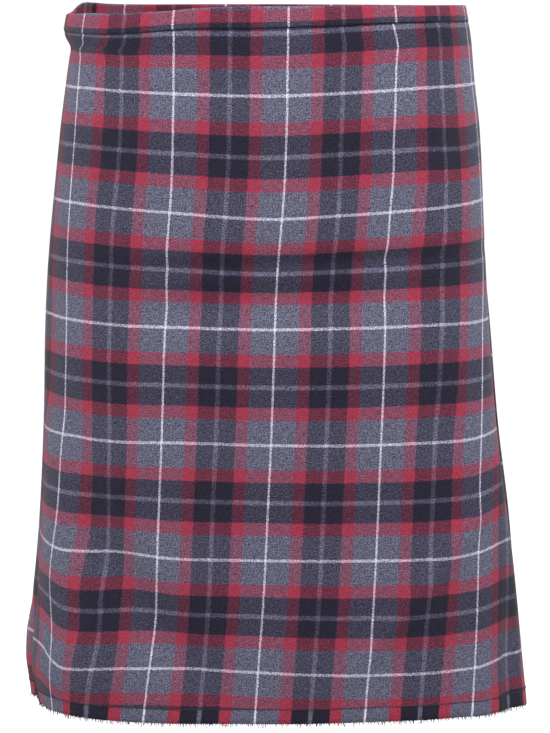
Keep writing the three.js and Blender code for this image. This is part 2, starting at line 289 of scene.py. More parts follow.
BACK_WEFT_AT = 18  # drop of a white weft line on the pleated back
BACK_WARP_AT = 51  # how far before the right seam a white warp line of the back would lie
BACK_BAND_WARP_AT = 28  # the same for the back waistband
FRONT_BAND_WEFT_AT = 32.2  # how far above the front band's seam a white weft line would lie
BACK_BAND_WEFT_AT = 31.5  # the same for the back band
LAP_FACING = 45  # how far past the seam the lap's facing reaches, in the back band's pattern
SETT = 87  # length of one repeat of the tartan, both ways
LINE_SHIFT = 0.3  # the lines lie this far to the right of, and below, where the tables have them


# ---- the form -----------------------------------------------------------------------------------
def along(knots, values, place):
    """Value at places between the knots, on a smooth curve through them."""
    i = np.clip(np.searchsorted(knots, place) - 1, 0, len(knots) - 2)
    before = np.maximum(np.arange(len(knots)) - 1, 0)
    after = np.minimum(np.arange(len(knots)) + 1, len(knots) - 1)
    slopes = (values[after] - values[before]) / (knots[after] - knots[before])
    step = knots[i + 1] - knots[i]
    rise = values[i + 1] - values[i]
    t = np.clip((place - knots[i]) / step, 0, 1)
    bend = (1 - t) * (slopes[i] * step - rise) - t * (slopes[i + 1] * step - rise)
    return values[i] + rise * t + t * (1 - t) * bend


def ease(t):
    """0 to 1 with a soft start and end."""
    t = np.clip(t, 0, 1)
    return t * t * (3 - 2 * t)


def section(column, drop):
    """A size of the outline at a drop."""
    return along(SECTIONS["drop"], SECTIONS[column], drop)


def waist(column, angle):
    """A size of the waist's edge at an angle."""
    angle = np.where(angle < -180, angle + 360, angle)
    return along(WAIST["angle"], WAIST[column], angle)


def ring(drop, from_angle, to_angle):
    """The outline at one drop as a fine chain: angle, arc, place and outward normal, in millimetres."""
    angle = np.linspace(from_angle, to_angle, STEPS_PER_DEGREE * abs(to_angle - from_angle) + 1)
    c, s = np.cos(np.radians(angle)), np.sin(np.radians(angle))
    left, front = c < 0, s < 0
    boxy = np.where(left, section("boxy_left", drop), section("boxy_right", drop))
    power = 2 / np.where(front, boxy, BACK_SQUARENESS)
    side_y = np.where(left, section("left_at", drop), section("right_at", drop))
    end_y = np.where(front, -section("front", drop), section("back", drop))
    half = np.where(left, section("left", drop), section("right", drop))
    x = half * np.sign(c) * np.abs(c) ** power
    y = side_y + (end_y - side_y) * np.abs(s) ** power
    arc = np.concatenate([[0], np.cumsum(np.hypot(np.diff(x), np.diff(y)))])
    run = np.stack([np.gradient(x, arc), np.gradient(y, arc)])
    run /= np.hypot(*run)
    return {"angle": angle, "arc": arc, "x": x, "y": y, "nx": run[1], "ny": -run[0]}


def on_ring(line, arc, out=0.0):
    """x, y, nx, ny at arcs along a ring, moved outwards."""
    x, y, nx, ny = (np.interp(arc, line["arc"], line[key]) for key in ("x", "y", "nx", "ny"))
    return np.stack([x + nx * out, y + ny * out, nx, ny], axis=-1)


def arc_at(line, angle):
    """The arc along a ring at an angle."""
    return np.interp(angle, line["angle"], line["arc"])


def centre_arc(line):
    """The arc at which a ring passes the front's centre."""
    return arc_at(line, FRONT_CENTRE)


def whole_arc(line):
    """The length of a ring."""
    return line["arc"][-1]


def at_each_drop(measure, heights, from_angle, to_angle):
    """A measure of the form's outline, such as its length, at the drop of each point."""
    drops = np.arange(0, LENGTH + MEASURE_STEP + 1, MEASURE_STEP)
    return np.interp(heights, drops, [measure(ring(drop, from_angle, to_angle)) for drop in drops])


def hang(place, heights, from_angle, to_angle):
    """x, y, nx, ny and arc of each point of a panel, by rows and columns.

    place gives the columns' arcs and stand-offs on the outline of one drop, heights each point's drop.
    """
    levels = []
    for drop in np.arange(0, LENGTH + 2 * LEVEL_STEP, LEVEL_STEP):
        line = ring(drop, from_angle, to_angle)
        arc, out = place(line, drop)
        levels.append(np.concatenate([on_ring(line, arc, out), arc[:, None]], axis=1))
    levels = np.array(levels)
    level = heights / LEVEL_STEP
    low = np.floor(level).astype(int)
    t = (level - low)[..., None]
    columns = np.arange(heights.shape[1])[None, :]
    return levels[low, columns] * (1 - t) + levels[low + 1, columns] * t


def panel_heights(place, from_angle, to_angle, hem_at, rows):
    """The drop of each point of a panel, from under the waistband down to its hem."""
    line = ring(UNDER_BAND, from_angle, to_angle)
    arc = np.clip(place(line, UNDER_BAND)[0], 0, whole_arc(line))
    angle = np.interp(arc, line["arc"], line["angle"])
    top = waist("dip", angle) + waist("band", angle) + SEAM_GAP
    hem = hem_at(arc / whole_arc(line))
    spread = np.linspace(0, 1, rows)
    share = (spread - TOP_FINENESS * spread * (1 - spread) ** TOP_CROWDING)[:, None]
    return top + (hem - top) * share


def fold_reach(across, drop):
    """How far the apron's folds push its surface out."""
    reach = 0
    for at, spread, size, start in zip(*FOLDS.values()):
        near = np.minimum(1, np.abs(across - at) / spread)
        grown = ease((drop - start) / (LENGTH - start))
        reach = reach + size * grown * (0.5 + 0.5 * np.cos(math.pi * near))
    return reach


def bumps(rows, across, drop):
    """The sum of a table's soft bumps, such as creases, at places on a surface."""
    total = np.zeros(np.shape(across))
    for k in range(len(rows["amount"])):
        lean = math.radians(rows["lean"][k])
        dx, dy = across - rows["across"][k], rows["drop"][k] - drop
        along_it = (dx * math.sin(lean) + dy * math.cos(lean)) / rows["length"][k]
        over_it = (dx * math.cos(lean) - dy * math.sin(lean)) / rows["width"][k]
        total += rows["amount"][k] * np.exp(-(over_it ** 2) - along_it ** 4)
    return total


def drape_waves(across, drop, amount):
    """Shallow unevenness that hanging cloth has all over: broad waves with finer ones on them.

    What across and drop are divided by is the length of a wave, as millimetres to a radian.
    """
    wave = np.sin(across / 31 + 1.3 * np.sin(drop / 97)) * np.sin(drop / 143 + across / 210)
    wave = wave + 0.6 * np.sin(across / 17 - drop / 160 + 2) * np.sin(drop / 71 + 0.4)
    return amount * wave


# ---- meshes -------------------------------------------------------------------------------------
def shell(name, face, back, cloth, frayed_from=None):
    """A closed sheet between two grids of points, with rounded edges and cloth coordinates.

    Rows run down and columns to the right, seen from the face. Faces below the row frayed_from have
    the piece's second material.
    """
    rows, columns = face.shape[:2]
    at = np.arange(rows * columns).reshape(rows, columns)
    under = at + rows * columns
    quads = [
        np.stack([at[:-1, :-1], at[1:, :-1], at[1:, 1:], at[:-1, 1:]], -1).reshape(-1, 4),
        np.stack([under[:-1, :-1], under[:-1, 1:], under[1:, 1:], under[1:, :-1]], -1).reshape(-1, 4),
    ]
    edge = np.concatenate([at[0, :-1], at[:-1, -1], at[-1, :0:-1], at[:0:-1, 0]])
    r, c = np.unravel_index(edge, at.shape)
    middle = (face + back) / 2
    outwards = middle[r, c] - middle[np.clip(r, 1, rows - 2), np.clip(c, 1, columns - 2)]
    outwards /= np.linalg.norm(outwards, axis=1)[:, None]
    thick = np.linalg.norm(face - back, axis=2)[r, c][:, None]
    rim_points = middle[r, c] + outwards * thick * EDGE_ROUNDING
    rim = 2 * rows * columns + np.arange(len(edge))
    after = np.roll(np.arange(len(edge)), -1)
    quads.append(np.stack([edge, edge[after], rim[after], rim], -1))
    quads.append(np.stack([rim, rim[after], under.ravel()[edge][after], under.ravel()[edge]], -1))
    points = np.concatenate([face.reshape(-1, 3), back.reshape(-1, 3), rim_points])
    flat = cloth.reshape(-1, 2)
    uv = np.concatenate([flat, flat, flat[edge]])
    piece = mesh_object(name, points, np.concatenate(quads), uv)
    if frayed_from is not None:
        row_of = np.concatenate([np.repeat(np.arange(rows), columns)] * 2 + [r])
        frayed = row_of[np.concatenate(quads)].min(axis=1) >= frayed_from
        piece.data.polygons.foreach_set("material_index", frayed.astype(np.int32))
    return piece


def mesh_object(name, points, quads, uv):
    """A smooth mesh object from arrays of points, four-cornered faces and cloth coordinates."""
    mesh = bpy.data.meshes.new(name)
    mesh.vertices.add(len(points))
    mesh.vertices.foreach_set("co", np.ascontiguousarray(points, np.float32).ravel())
    mesh.loops.add(quads.size)
    mesh.loops.foreach_set("vertex_index", np.ascontiguousarray(quads, np.int32).ravel())
    mesh.polygons.add(len(quads))
    mesh.polygons.foreach_set("loop_start", np.arange(0, quads.size, 4, dtype=np.int32))
    mesh.update(calc_edges=True)
    mesh.validate()
    layer = mesh.uv_layers.new(name="UVMap")
    corners = np.empty(len(mesh.loops), np.int32)
    mesh.loops.foreach_get("vertex_index", corners)
    layer.data.foreach_set("uv", np.ascontiguousarray(uv[corners], np.float32).ravel())
    mesh.shade_smooth()
    return new_object(name, mesh)


def new_object(name, data):
    """A new object in the scene."""
    obj = bpy.data.objects.new(name, data)
    bpy.context.collection.objects.link(obj)
    return obj


def guide_object(name, lines):
    """Open chains of points, in one mesh, that carry cloth coordinates for what is set along them."""
    points, edges, cloth = [], [], []
    for line, uv in lines:
        start = len(points)
        points += [tuple(p) for p in line]
        cloth += [(u, v, 0.0) for u, v in uv]
        edges += [(start + i, start + i + 1) for i in range(len(line) - 1)]
    mesh = bpy.data.meshes.new(name)
    mesh.from_pydata(points, edges, [])
    layer = mesh.attributes.new("cloth", "FLOAT_VECTOR", "POINT")
    layer.data.foreach_set("vector", np.array(cloth, np.float32).ravel())
    return new_object(name, mesh)


def settle(obj, materials, *nodes, slot="tartan_twill"):
    """Gives a finished piece its materials, its place in the frame and the nodes that it stands for."""
    given = np.zeros(len(obj.data.polygons), np.int32)
    obj.data.polygons.foreach_get("material_index", given)
    obj.data.materials.clear()
    for material in materials:
        obj.data.materials.append(material)
    obj.data.polygons.foreach_set("material_index", given)
    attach(obj, "root")
    if nodes:
        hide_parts(*nodes)


# ---- panels -------------------------------------------------------------------------------------
def apron_cloth(across, drop):
    """Cloth coordinates on the apron, in setts, so that its lines hang as the tables say."""
    aside, down = bumps(WARP_SLIPS, across, drop), bumps(WEFT_SLIPS, across, drop)
    across, drop = across - LINE_SHIFT - aside, drop - LINE_SHIFT - down
    lines = [along(WARP_LINES["drop"], WARP_LINES[f"line{k}"], drop) for k in range(1, 6)]
    u = 1 + (across - lines[0]) / SETT
    for k in range(4):
        within = np.clip((across - lines[k]) / (lines[k + 1] - lines[k]), 0, 1)
        u = np.where(across > lines[k], 1 + k + within, u)
    u = np.where(across > lines[4], 5 + (across - lines[4]) / SETT, u)
    drops = [along(WEFT_LINES["across"], WEFT_LINES[f"line{k}"], across) for k in range(1, 7)]
    thin = along(WEFT_LINES["across"], WEFT_LINES["thin"], across)
    v = 1 + (drop - drops[0]) / (drops[0] - thin) / 2
    v = np.where(drop > drops[0], 1 + (drop - drops[0]) / SETT, v)
    for k in range(5):
        within = np.clip((drop - drops[k]) / (drops[k + 1] - drops[k]), 0, 1)
        v = np.where(drop > drops[k], 1 + k + within, v)
    v = np.where(drop > drops[5], 6 + (drop - drops[5]) / SETT, v)
    return np.stack([u, v], -1)


def seam_roll(arc, length, reach=5.0, depth=1.1):
    """How far cloth turns in towards the seams at both its ends."""
    from_end = np.minimum(arc, length - arc)
    return -depth * (1 - ease(from_end / reach))


def waist_tuck(across, heights, depth):
    """How far a panel turns in under the waistband, with small puckers from its stitches."""
    below = heights - heights[:1]
    turn = across / PUCKER_LENGTH + 2 * np.sin(across / PUCKER_DRIFT)
    pucker = np.sin(turn) * np.exp(-below / PUCKER_REACH)
    return PUCKER_DEPTH * pucker - depth * (1 - ease(below / TUCK_REACH))


def build_apron(shape):
    """The front apron's face and back, and its cloth coordinates."""
    columns = int(APRON_WIDTH * MM / shape.cell) + 1
    rows = int(LENGTH * MM / shape.cell) + 1
    shares = np.linspace(0, 1, columns)

    def place(line, drop):
        arc = whole_arc(line) * shares
        across = arc - centre_arc(line)
        return arc, fold_reach(across, drop) + seam_roll(arc, whole_arc(line))

    heights = panel_heights(place, FRONT_FROM, RIGHT_SEAM, lambda share: LENGTH + 0 * share, rows)
    spots = hang(place, heights, FRONT_FROM, RIGHT_SEAM)
    across = spots[..., 4] - at_each_drop(centre_arc, heights, FRONT_FROM, RIGHT_SEAM)
    relief = bumps(APRON_CREASES, across, heights) + drape_waves(across, heights, APRON_WAVES)
    relief *= ease((heights - UNDER_BAND) / APRON_RELIEF_START)
    aside = (np.abs(across - TUCK_MIDDLE) - TUCK_HALF_WIDTH) / TUCK_FADE
    relief += waist_tuck(across, heights, FRONT_TUCK - FRONT_TUCK_LOSS * ease(aside))
    cloth = apron_cloth(across, heights) * SETT * MM
    return two_faces(spots, heights, relief, 0.0, -shape.cloth / MM) + (cloth,)


def two_faces(spots, heights, relief, face_out, back_out):
    """Face and back of a panel in metres, from its places and how far each face lies out."""
    faces = []
    for out in (face_out, back_out):
        x = spots[..., 0] + spots[..., 2] * (relief + out)
        y = spots[..., 1] + spots[..., 3] * (relief + out)
        faces.append(np.stack([x, y, -heights], -1) * MM)
    return tuple(faces)


def pleat_route(length, drop):
    """Distance from the right seam and depth of the pleated cloth's middle, at one drop."""
    visible = length / (PLEATS + 1)
    under = (CLOTH_PER_PLEAT - visible) / 2
    radius = PLEAT_PITCH / 2
    slope = 2 * PLEAT_PITCH / visible

    def edge(k):
        swing = PLEAT_SWING * math.sin(SWING_TURN * k) * drop / LENGTH if 0 < k <= PLEATS else 0
        return k * visible + swing

    def run(start, end, count):
        """Points on a straight stretch, without its last one."""
        way = np.array(end) - np.array(start)
        return [tuple(np.array(start) + way * i / count) for i in range(count)]

    def bend(at, depth, turn):
        """Points round half a fold, without its ends."""
        angles = [math.radians(a) for a in BEND_TURNS]
        return [(at + turn * radius * math.cos(a), depth - radius * math.sin(a)) for a in angles]

    route = []
    for k in range(PLEATS + 1):
        start, following = edge(k), edge(k + 1)
        last = k == PLEATS
        tilt = 0 if last else slope
        stops = [(start, 0), (start + under, under * tilt), (following, (following - start) * tilt)]
        route += run(stops[0], stops[1], HIDDEN_STEPS) + run(stops[1], stops[2], SHOWN_STEPS)
        if last:
            route.append(stops[2])
            break
        deepest = (following + under - start) * tilt
        route += run(stops[2], (following + under, deepest), HIDDEN_STEPS)
        route.append((following + under, deepest))
        route += bend(following + under, deepest - radius, 1)
        route += run((following + under, deepest - PLEAT_PITCH), (following, PLEAT_PITCH), HIDDEN_STEPS)
        route.append((following, PLEAT_PITCH))
        route += bend(following, radius, -1)
    return np.array(route).T


def build_back(shape):
    """The pleated back's face and back, and its cloth coordinates."""
    rows = int(LENGTH * MM / (2 * shape.cell)) + 1
    last_gap = 2 * SEAM_GAP

    def place(line, drop):
        distance, depth = pleat_route(whole_arc(line) - last_gap, drop)
        return distance + SEAM_GAP, -depth - shape.cloth / MM / 2

    def hem_at(share):
        at_side = SIDE_HEM_LIFT * ease((share - SIDE_LIFT_FROM) / SIDE_LIFT_OVER)
        return LENGTH - BACK_HEM_LIFT * np.sin(math.pi * share) - at_side

    heights = panel_heights(place, RIGHT_SEAM, LEFT_SEAM, hem_at, rows)
    spots = hang(place, heights, RIGHT_SEAM, LEFT_SEAM)
    arc = spots[..., 4]
    length = at_each_drop(whole_arc, heights, RIGHT_SEAM, LEFT_SEAM)
    swell = bumps(BACK_CREASES, arc, heights) + drape_waves(arc + BACK_WAVES_AT, heights, BACK_WAVES)
    swell *= ease((heights - UNDER_BAND) / BACK_RELIEF_START)
    swell += seam_roll(arc, length, reach=4.0, depth=1.0) + waist_tuck(arc, heights, BACK_TUCK)
    middle = spots[..., :2] + spots[..., 2:4] * swell[..., None]
    run = np.gradient(middle, axis=1)
    run /= np.linalg.norm(run, axis=2)[..., None]
    spots = np.concatenate([middle, run[..., 1:], -run[..., :1]], -1)
    travelled = np.concatenate([[0], np.cumsum(np.linalg.norm(np.diff(middle[0], axis=0), axis=1))])
    u = (travelled[None, :] + BACK_WARP_AT) + 0 * heights
    cloth = np.stack([u, heights - BACK_WEFT_AT], -1) * MM
    half = shape.cloth / MM / 2
    return two_faces(spots, heights, 0.0, half, -half) + (cloth,)


# ---- waistband ----------------------------------------------------------------------------------
def band_profile(shape):
    """A band folded double, as a route in its own section from the outer layer's seam upwards.

    Each row is how far out from the outline, the share of the height, and how far below that.
    """
    radius = shape.band_fold / MM
    outer = -shape.band_cloth / MM / 2
    centre = outer - radius
    route = [(outer, 0.0, 0.0)]
    for t in BAND_STEPS:
        route.append((outer, t, 0.0))
    route.append((outer, 1.0, radius - outer))
    for a in BAND_TURNS:
        turn = math.radians(a)
        out = centre + radius * math.cos(turn)
        route.append((out, 1.0, radius - outer - radius * math.sin(turn)))
    route.append((centre - radius, 1.0, radius - outer))
    for t in reversed(BAND_STEPS):
        route.append((centre - radius, t, 0.0))
    route.append((centre - radius, 0.0, 0.0))
    return np.array(route)


def build_band(shape, from_angle, to_angle, arcs_on, stand_off, warp_at, facing_at, weft_at):
    """A stretch of waistband, folded over at the top: its face, its back and its cloth coordinates.

    The inside is a facing that is matched to the outside at the fold, and facing_at gives its warp.
    """
    top = ring(0, from_angle, to_angle)
    foot = ring(UNDER_BAND, from_angle, to_angle)
    edges = []
    for line in (top, foot):
        arc = arcs_on(line)
        angle = np.interp(arc, line["arc"], line["angle"])
        edges.append((on_ring(line, arc, stand_off(line, arc)), angle, arc))
    (top_spots, top_angle, top_arc), (foot_spots, foot_angle, _) = edges
    top_z = -waist("dip", top_angle)
    foot_z = -waist("dip", foot_angle) - waist("band", foot_angle)
    profile = band_profile(shape)
    out, share, below = profile.T[:, :, None]
    spots = foot_spots + (top_spots - foot_spots) * share[..., None]
    z = foot_z + (top_z - foot_z) * share - below
    # the cloth's faces lie half its thickness to each side of the folded route
    middle = np.stack([out + 0 * z, z], -1)
    run = np.gradient(middle, axis=0)
    run /= np.linalg.norm(run, axis=2)[..., None]
    turned = np.stack([run[..., 1], -run[..., 0]], -1)
    half = shape.band_cloth / MM / 2
    faces = []
    for side in (half, -half):
        at = out + turned[..., 0] * side
        x = spots[..., 0] + spots[..., 2] * at
        y = spots[..., 1] + spots[..., 3] * at
        faces.append(np.stack([x, y, z + turned[..., 1] * side], -1)[::-1] * MM)
    step = np.linalg.norm(np.diff(middle, axis=0), axis=2)
    travelled = np.concatenate([np.zeros((1, step.shape[1])), np.cumsum(step, axis=0)])
    fold = travelled[len(profile) // 2]
    v = weft_at - fold + np.abs(fold - travelled)
    u = warp_at(top, top_arc) + 0 * v
    inside = travelled > fold
    u = np.where(inside, facing_at(top, top_arc), u)
    cloth = np.stack([u, v], -1)[::-1] * MM
    return faces[0], faces[1], cloth


# ---- materials ----------------------------------------------------------------------------------
MIX_COLOUR_INPUTS = (0, 6, 7)  # sockets of a Mix node for colours: factor and the two colours
MIX_COLOUR_OUTPUT = 2


def srgb(colour):
    """A display colour, 0 to 1, as the linear one that shaders take."""
    return [c / 12.92 if c <= 0.04045 else ((c + 0.055) / 1.055) ** 2.4 for c in colour]


def feed(tree, socket, value):
    """Links a node's output to a socket, or gives the socket a plain value."""
    if isinstance(value, bpy.types.NodeSocket):
        tree.links.new(value, socket)
    else:
        socket.default_value = value


def add(tree, kind, inputs=(), **settings):
    """A new node in a tree. inputs maps its sockets to values or to other nodes' outputs."""
    node = tree.nodes.new(kind)
    for key, value in settings.items():
        setattr(node, key, value)
    for key, value in dict(inputs).items():
        feed(tree, node.inputs[key], value)
    return node


def maths(tree, operation, *values, clamp=False):
    """The output of a Math node."""
    return add(tree, "ShaderNodeMath", enumerate(values), operation=operation, use_clamp=clamp).outputs[0]


def blend(tree, kind, factor, a, b):
    """The output of a node that mixes two colours."""
    node = add(tree, "ShaderNodeMix", data_type="RGBA", blend_type=kind)
    for key, value in zip(MIX_COLOUR_INPUTS, (factor, a, b)):
        feed(tree, node.inputs[key], value)
    return node.outputs[MIX_COLOUR_OUTPUT]


def noise(tree, vector, scale, detail=2.0, roughness=0.5):
    """The outputs of a Noise Texture node."""
    values = {"Vector": vector, "Scale": scale, "Detail": detail, "Roughness": roughness}
    return add(tree, "ShaderNodeTexNoise", values).outputs


def group_tree(name, inputs, outputs):
    """A new shader group with its inputs' and outputs' sockets. inputs: name, socket type, default."""
    tree = bpy.data.node_groups.new(name, "ShaderNodeTree")
    for label, kind, default in inputs:
        socket = tree.interface.new_socket(label, in_out="INPUT", socket_type=kind)
        if default is not None:
            socket.default_value = default
    for label, kind in outputs:
        tree.interface.new_socket(label, in_out="OUTPUT", socket_type=kind)
    return tree, tree.nodes.new("NodeGroupInput").outputs, tree.nodes.new("NodeGroupOutput").inputs


# Stripes from the middle of a white line to the middle of a black stripe, with the share of half a
# repeat at which each begins.
STRIPES = (("white", 0.0), ("grey", 0.0195), ("red", 0.430), ("black", 0.648), ("grey", 0.962))
WEFT_WHITE_END = 0.025  # the white lines across are a little wider
HEATHER = {"white": 0.4, "grey": 1.2, "red": 0.5, "black": 0.8}  # how uneven each yarn's shade is
EDGE_SOFTNESS = 0.01  # the nap blurs the stripes' edges, over this share of half a repeat each way
WHITE_SOFTNESS = 0.003  # the same for the white lines
WHITE_WARP_SHARE = 0.25  # how much the weft shows where the warp is white
WHITE_WEFT_SHARE = 0.68  # and where the weft is white
STRAY_PATCH = 1.3  # millimetres over which the yarns stray together
STREAK_YARNS = 6  # length of a streak, in yarns
FLECK_YARNS = 1.3  # size of a fleck, in yarns
OTHER_FLECK_YARNS = 1.4
OTHER_FLECK_PLACE = (3.1, 1.7, 0.0)
FLECK_DETAIL = 2.0
FLECK_ROUGHNESS = 0.8
STREAK_PART = 0.35  # parts of streaks and flecks in the heather
FLECK_PART = 1.3
DARKEST_FLECK = 0.2
TWILL_YARNS = 4  # yarns from one ridge of the twill to the next
TWILL_BREAK = 3.0  # how far the nap shifts the ridges
TWILL_HEIGHT = 0.18  # heights of ridges and nap, beside the yarns' own
NAP_HEIGHT = 0.8
ROUGHNESS = 0.82
ROUGHNESS_SPREAD = 0.2


def stripe_ramp(tree, where, colours, white_end):
    """The colours of one set of yarns across half a repeat. Alpha says how uneven each shade is."""
    shades = [srgb(colours[name]) + [HEATHER[name]] for name, _ in STRIPES]
    edges = [(white_end, WHITE_SOFTNESS)] + [(start, EDGE_SOFTNESS) for _, start in STRIPES[2:]]
    stops = [(0.0, shades[0])]
    for (edge, soft), before, after in zip(edges, shades, shades[1:]):
        stops += [(edge - soft, before), (edge + soft, after)]
    node = add(tree, "ShaderNodeValToRGB", {"Fac": where})
    ramp = node.color_ramp
    while len(ramp.elements) < len(stops):
        ramp.elements.new(1.0)
    for element, (position, shade) in zip(ramp.elements, stops):
        element.position = position
        element.color = shade
    return node.outputs


def vector_maths(tree, operation, vector, value):
    """The output of a Vector Math node. The value is a vector, or a number for SCALE."""
    key = "Scale" if operation == "SCALE" else 1
    return add(tree, "ShaderNodeVectorMath", {0: vector, key: value}, operation=operation).outputs[0]


def tartan_group(cloth):
    """Colour, warp colour, height and roughness of brushed twill, from cloth coordinates in metres."""
    tree, given, result = group_tree(
        "Tartan twill",
        [("Cloth", "NodeSocketVector", None), ("Repeat", "NodeSocketFloat", SETT * MM)],
        [
            ("Colour", "NodeSocketColor"),
            ("Warp Colour", "NodeSocketColor"),
            ("Height", "NodeSocketFloat"),
            ("Roughness", "NodeSocketFloat"),
        ],
    )
    colours = {name: getattr(cloth, name) for name in ("white", "grey", "red", "black")}
    coords = given["Cloth"]
    yarn = cloth.yarn

    # the yarns wander a little, so the stripes' edges are not sharp
    patches = noise(tree, coords, 1 / (STRAY_PATCH * MM), 1.0)["Color"]
    stray = vector_maths(tree, "SUBTRACT", patches, (0.5, 0.5, 0.5))
    moved = vector_maths(tree, "ADD", coords, vector_maths(tree, "SCALE", stray, cloth.stray))
    axes = add(tree, "ShaderNodeSeparateXYZ", {0: moved}).outputs
    ramps, whites = [], []
    for axis, white_end in (("X", STRIPES[1][1]), ("Y", WEFT_WHITE_END)):
        place = maths(tree, "PINGPONG", maths(tree, "DIVIDE", axes[axis], given["Repeat"]), 0.5)
        place = maths(tree, "MULTIPLY", place, 2.0)
        ramps.append(stripe_ramp(tree, place, colours, white_end))
        whites.append(maths(tree, "LESS_THAN", place, white_end))

    # streaks run along the yarns of each direction, and flecks of heather lie between them
    streaks = []
    short, long = 1 / yarn, 1 / (STREAK_YARNS * yarn)
    for stretch in ((short, long, 1.0), (long, short, 1.0)):
        streaks.append(noise(tree, vector_maths(tree, "MULTIPLY", coords, stretch), 1.0, 1.0)["Fac"])
    fleck = noise(tree, coords, 1 / (FLECK_YARNS * yarn), FLECK_DETAIL, FLECK_ROUGHNESS)["Fac"]
    elsewhere = vector_maths(tree, "ADD", coords, OTHER_FLECK_PLACE)
    other_fleck = noise(tree, elsewhere, 1 / (OTHER_FLECK_YARNS * yarn), FLECK_DETAIL, FLECK_ROUGHNESS)["Fac"]

    # the weft shows most in twill, save where a white line stands out, and flecks shift the balance
    share = maths(tree, "MULTIPLY_ADD", whites[0], WHITE_WARP_SHARE - cloth.weft_share, cloth.weft_share)
    share = maths(tree, "MULTIPLY_ADD", whites[1], WHITE_WEFT_SHARE - cloth.weft_share, share)
    shift = maths(tree, "MULTIPLY", maths(tree, "SUBTRACT", other_fleck, 0.5), cloth.weave)
    share = maths(tree, "ADD", share, shift, clamp=True)
    warp_share = maths(tree, "SUBTRACT", 1.0, share)
    warp = add(tree, "ShaderNodeGamma", {"Color": ramps[0][0], "Gamma": warp_share})
    weft = add(tree, "ShaderNodeGamma", {"Color": ramps[1][0], "Gamma": share})
    shade = blend(tree, "MULTIPLY", 1.0, warp.outputs[0], weft.outputs[0])
    mean = blend(tree, "MIX", share, ramps[0][0], ramps[1][0])
    shade = blend(tree, "MIX", cloth.blend, shade, mean)
    heather = maths(tree, "MULTIPLY", ramps[0][1], 1 - cloth.weft_share)
    heather = maths(tree, "MULTIPLY_ADD", ramps[1][1], cloth.weft_share, heather)
    mixed = maths(tree, "MULTIPLY", streaks[0], STREAK_PART)
    mixed = maths(tree, "MULTIPLY_ADD", streaks[1], STREAK_PART, mixed)
    mixed = maths(tree, "SUBTRACT", maths(tree, "MULTIPLY_ADD", fleck, FLECK_PART, mixed), 1.0)
    bright = maths(tree, "MULTIPLY_ADD", maths(tree, "MULTIPLY", mixed, heather), cloth.heather, 1.0)
    bright = maths(tree, "MAXIMUM", bright, DARKEST_FLECK)
    tree.links.new(vector_maths(tree, "SCALE", shade, bright), result["Colour"])
    tree.links.new(vector_maths(tree, "SCALE", ramps[0][0], bright), result["Warp Colour"])

    # twill: ridges run down to the left, a little broken by the nap
    flat = add(tree, "ShaderNodeSeparateXYZ", {0: coords}).outputs
    turns = 2 * math.pi / (TWILL_YARNS * yarn)
    diagonal = maths(tree, "MULTIPLY", maths(tree, "ADD", flat["X"], flat["Y"]), turns)
    diagonal = maths(tree, "SINE", maths(tree, "MULTIPLY_ADD", fleck, TWILL_BREAK, diagonal))
    yarns = maths(tree, "ADD", streaks[0], streaks[1])
    height = maths(tree, "MULTIPLY_ADD", diagonal, TWILL_HEIGHT, yarns)
    height = maths(tree, "MULTIPLY_ADD", fleck, NAP_HEIGHT, height)
    tree.links.new(height, result["Height"])
    rough = maths(tree, "MULTIPLY_ADD", fleck, ROUGHNESS_SPREAD, ROUGHNESS, clamp=True)
    tree.links.new(rough, result["Roughness"])
    return tree


def new_material(name):
    """A new material, its tree and its main shader."""
    material = bpy.data.materials.new(name)
    material.use_nodes = True
    return material, material.node_tree, material.node_tree.nodes["Principled BSDF"]


def raise_surface(tree, shader, height, strength, distance):
    """Gives a material relief."""
    bump = add(tree, "ShaderNodeBump", {"Height": height, "Strength": strength, "Distance": distance})
    tree.links.new(bump.outputs[0], shader.inputs["Normal"])


def cloth_material(name, group, colour_output):
    """Brushed twill in which the group's colour is read from the piece's cloth coordinates."""
    material, tree, shader = new_material(name)
    coords = add(tree, "ShaderNodeUVMap", uv_map="UVMap").outputs[0]
    twill = add(tree, "ShaderNodeGroup", node_tree=group)
    tree.links.new(coords, twill.inputs["Cloth"])
    tree.links.new(twill.outputs[colour_output], shader.inputs["Base Color"])
    tree.links.new(twill.outputs["Roughness"], shader.inputs["Roughness"])
    raise_surface(tree, shader, twill.outputs["Height"], strength=0.5, distance=0.25 * MM)
    shader.inputs["Specular IOR Level"].default_value = 0.15
    shader.inputs["Sheen Weight"].default_value = 0.08
    shader.inputs["Sheen Roughness"].default_value = 0.45
    return material


THREAD_FUZZ = 0.5  # size of the thread's fuzz, in millimetres
THREAD_LIGHTER = 2.2  # how much lighter the fuzz is at most


def thread_material(cloth):
    """Dark sewing thread with a little fuzz."""
    material, tree, shader = new_material("sewing_thread")
    coords = add(tree, "ShaderNodeTexCoord").outputs["Object"]
    fuzz = noise(tree, coords, 1 / (THREAD_FUZZ * MM), 2.0)["Fac"]
    dark = srgb(cloth.thread) + [1.0]
    light = [min(1.0, c * THREAD_LIGHTER) for c in dark[:3]] + [1.0]
    tree.links.new(blend(tree, "MIX", fuzz, dark, light), shader.inputs["Base Color"])
    raise_surface(tree, shader, fuzz, strength=0.4, distance=0.1 * MM)
    shader.inputs["Roughness"].default_value = 0.8
    return material


BUTTON_DARK = (0.13, 0.12, 0.17)
BUTTON_LIGHT = (0.27, 0.25, 0.33)
BUTTON_MARBLE = 5  # size of the button's marbling, in millimetres
BUTTON_MARKS = 0.3  # and of its fine marks
BUTTON_ROUGHNESS = 0.25
BUTTON_ROUGHNESS_SPREAD = 0.2


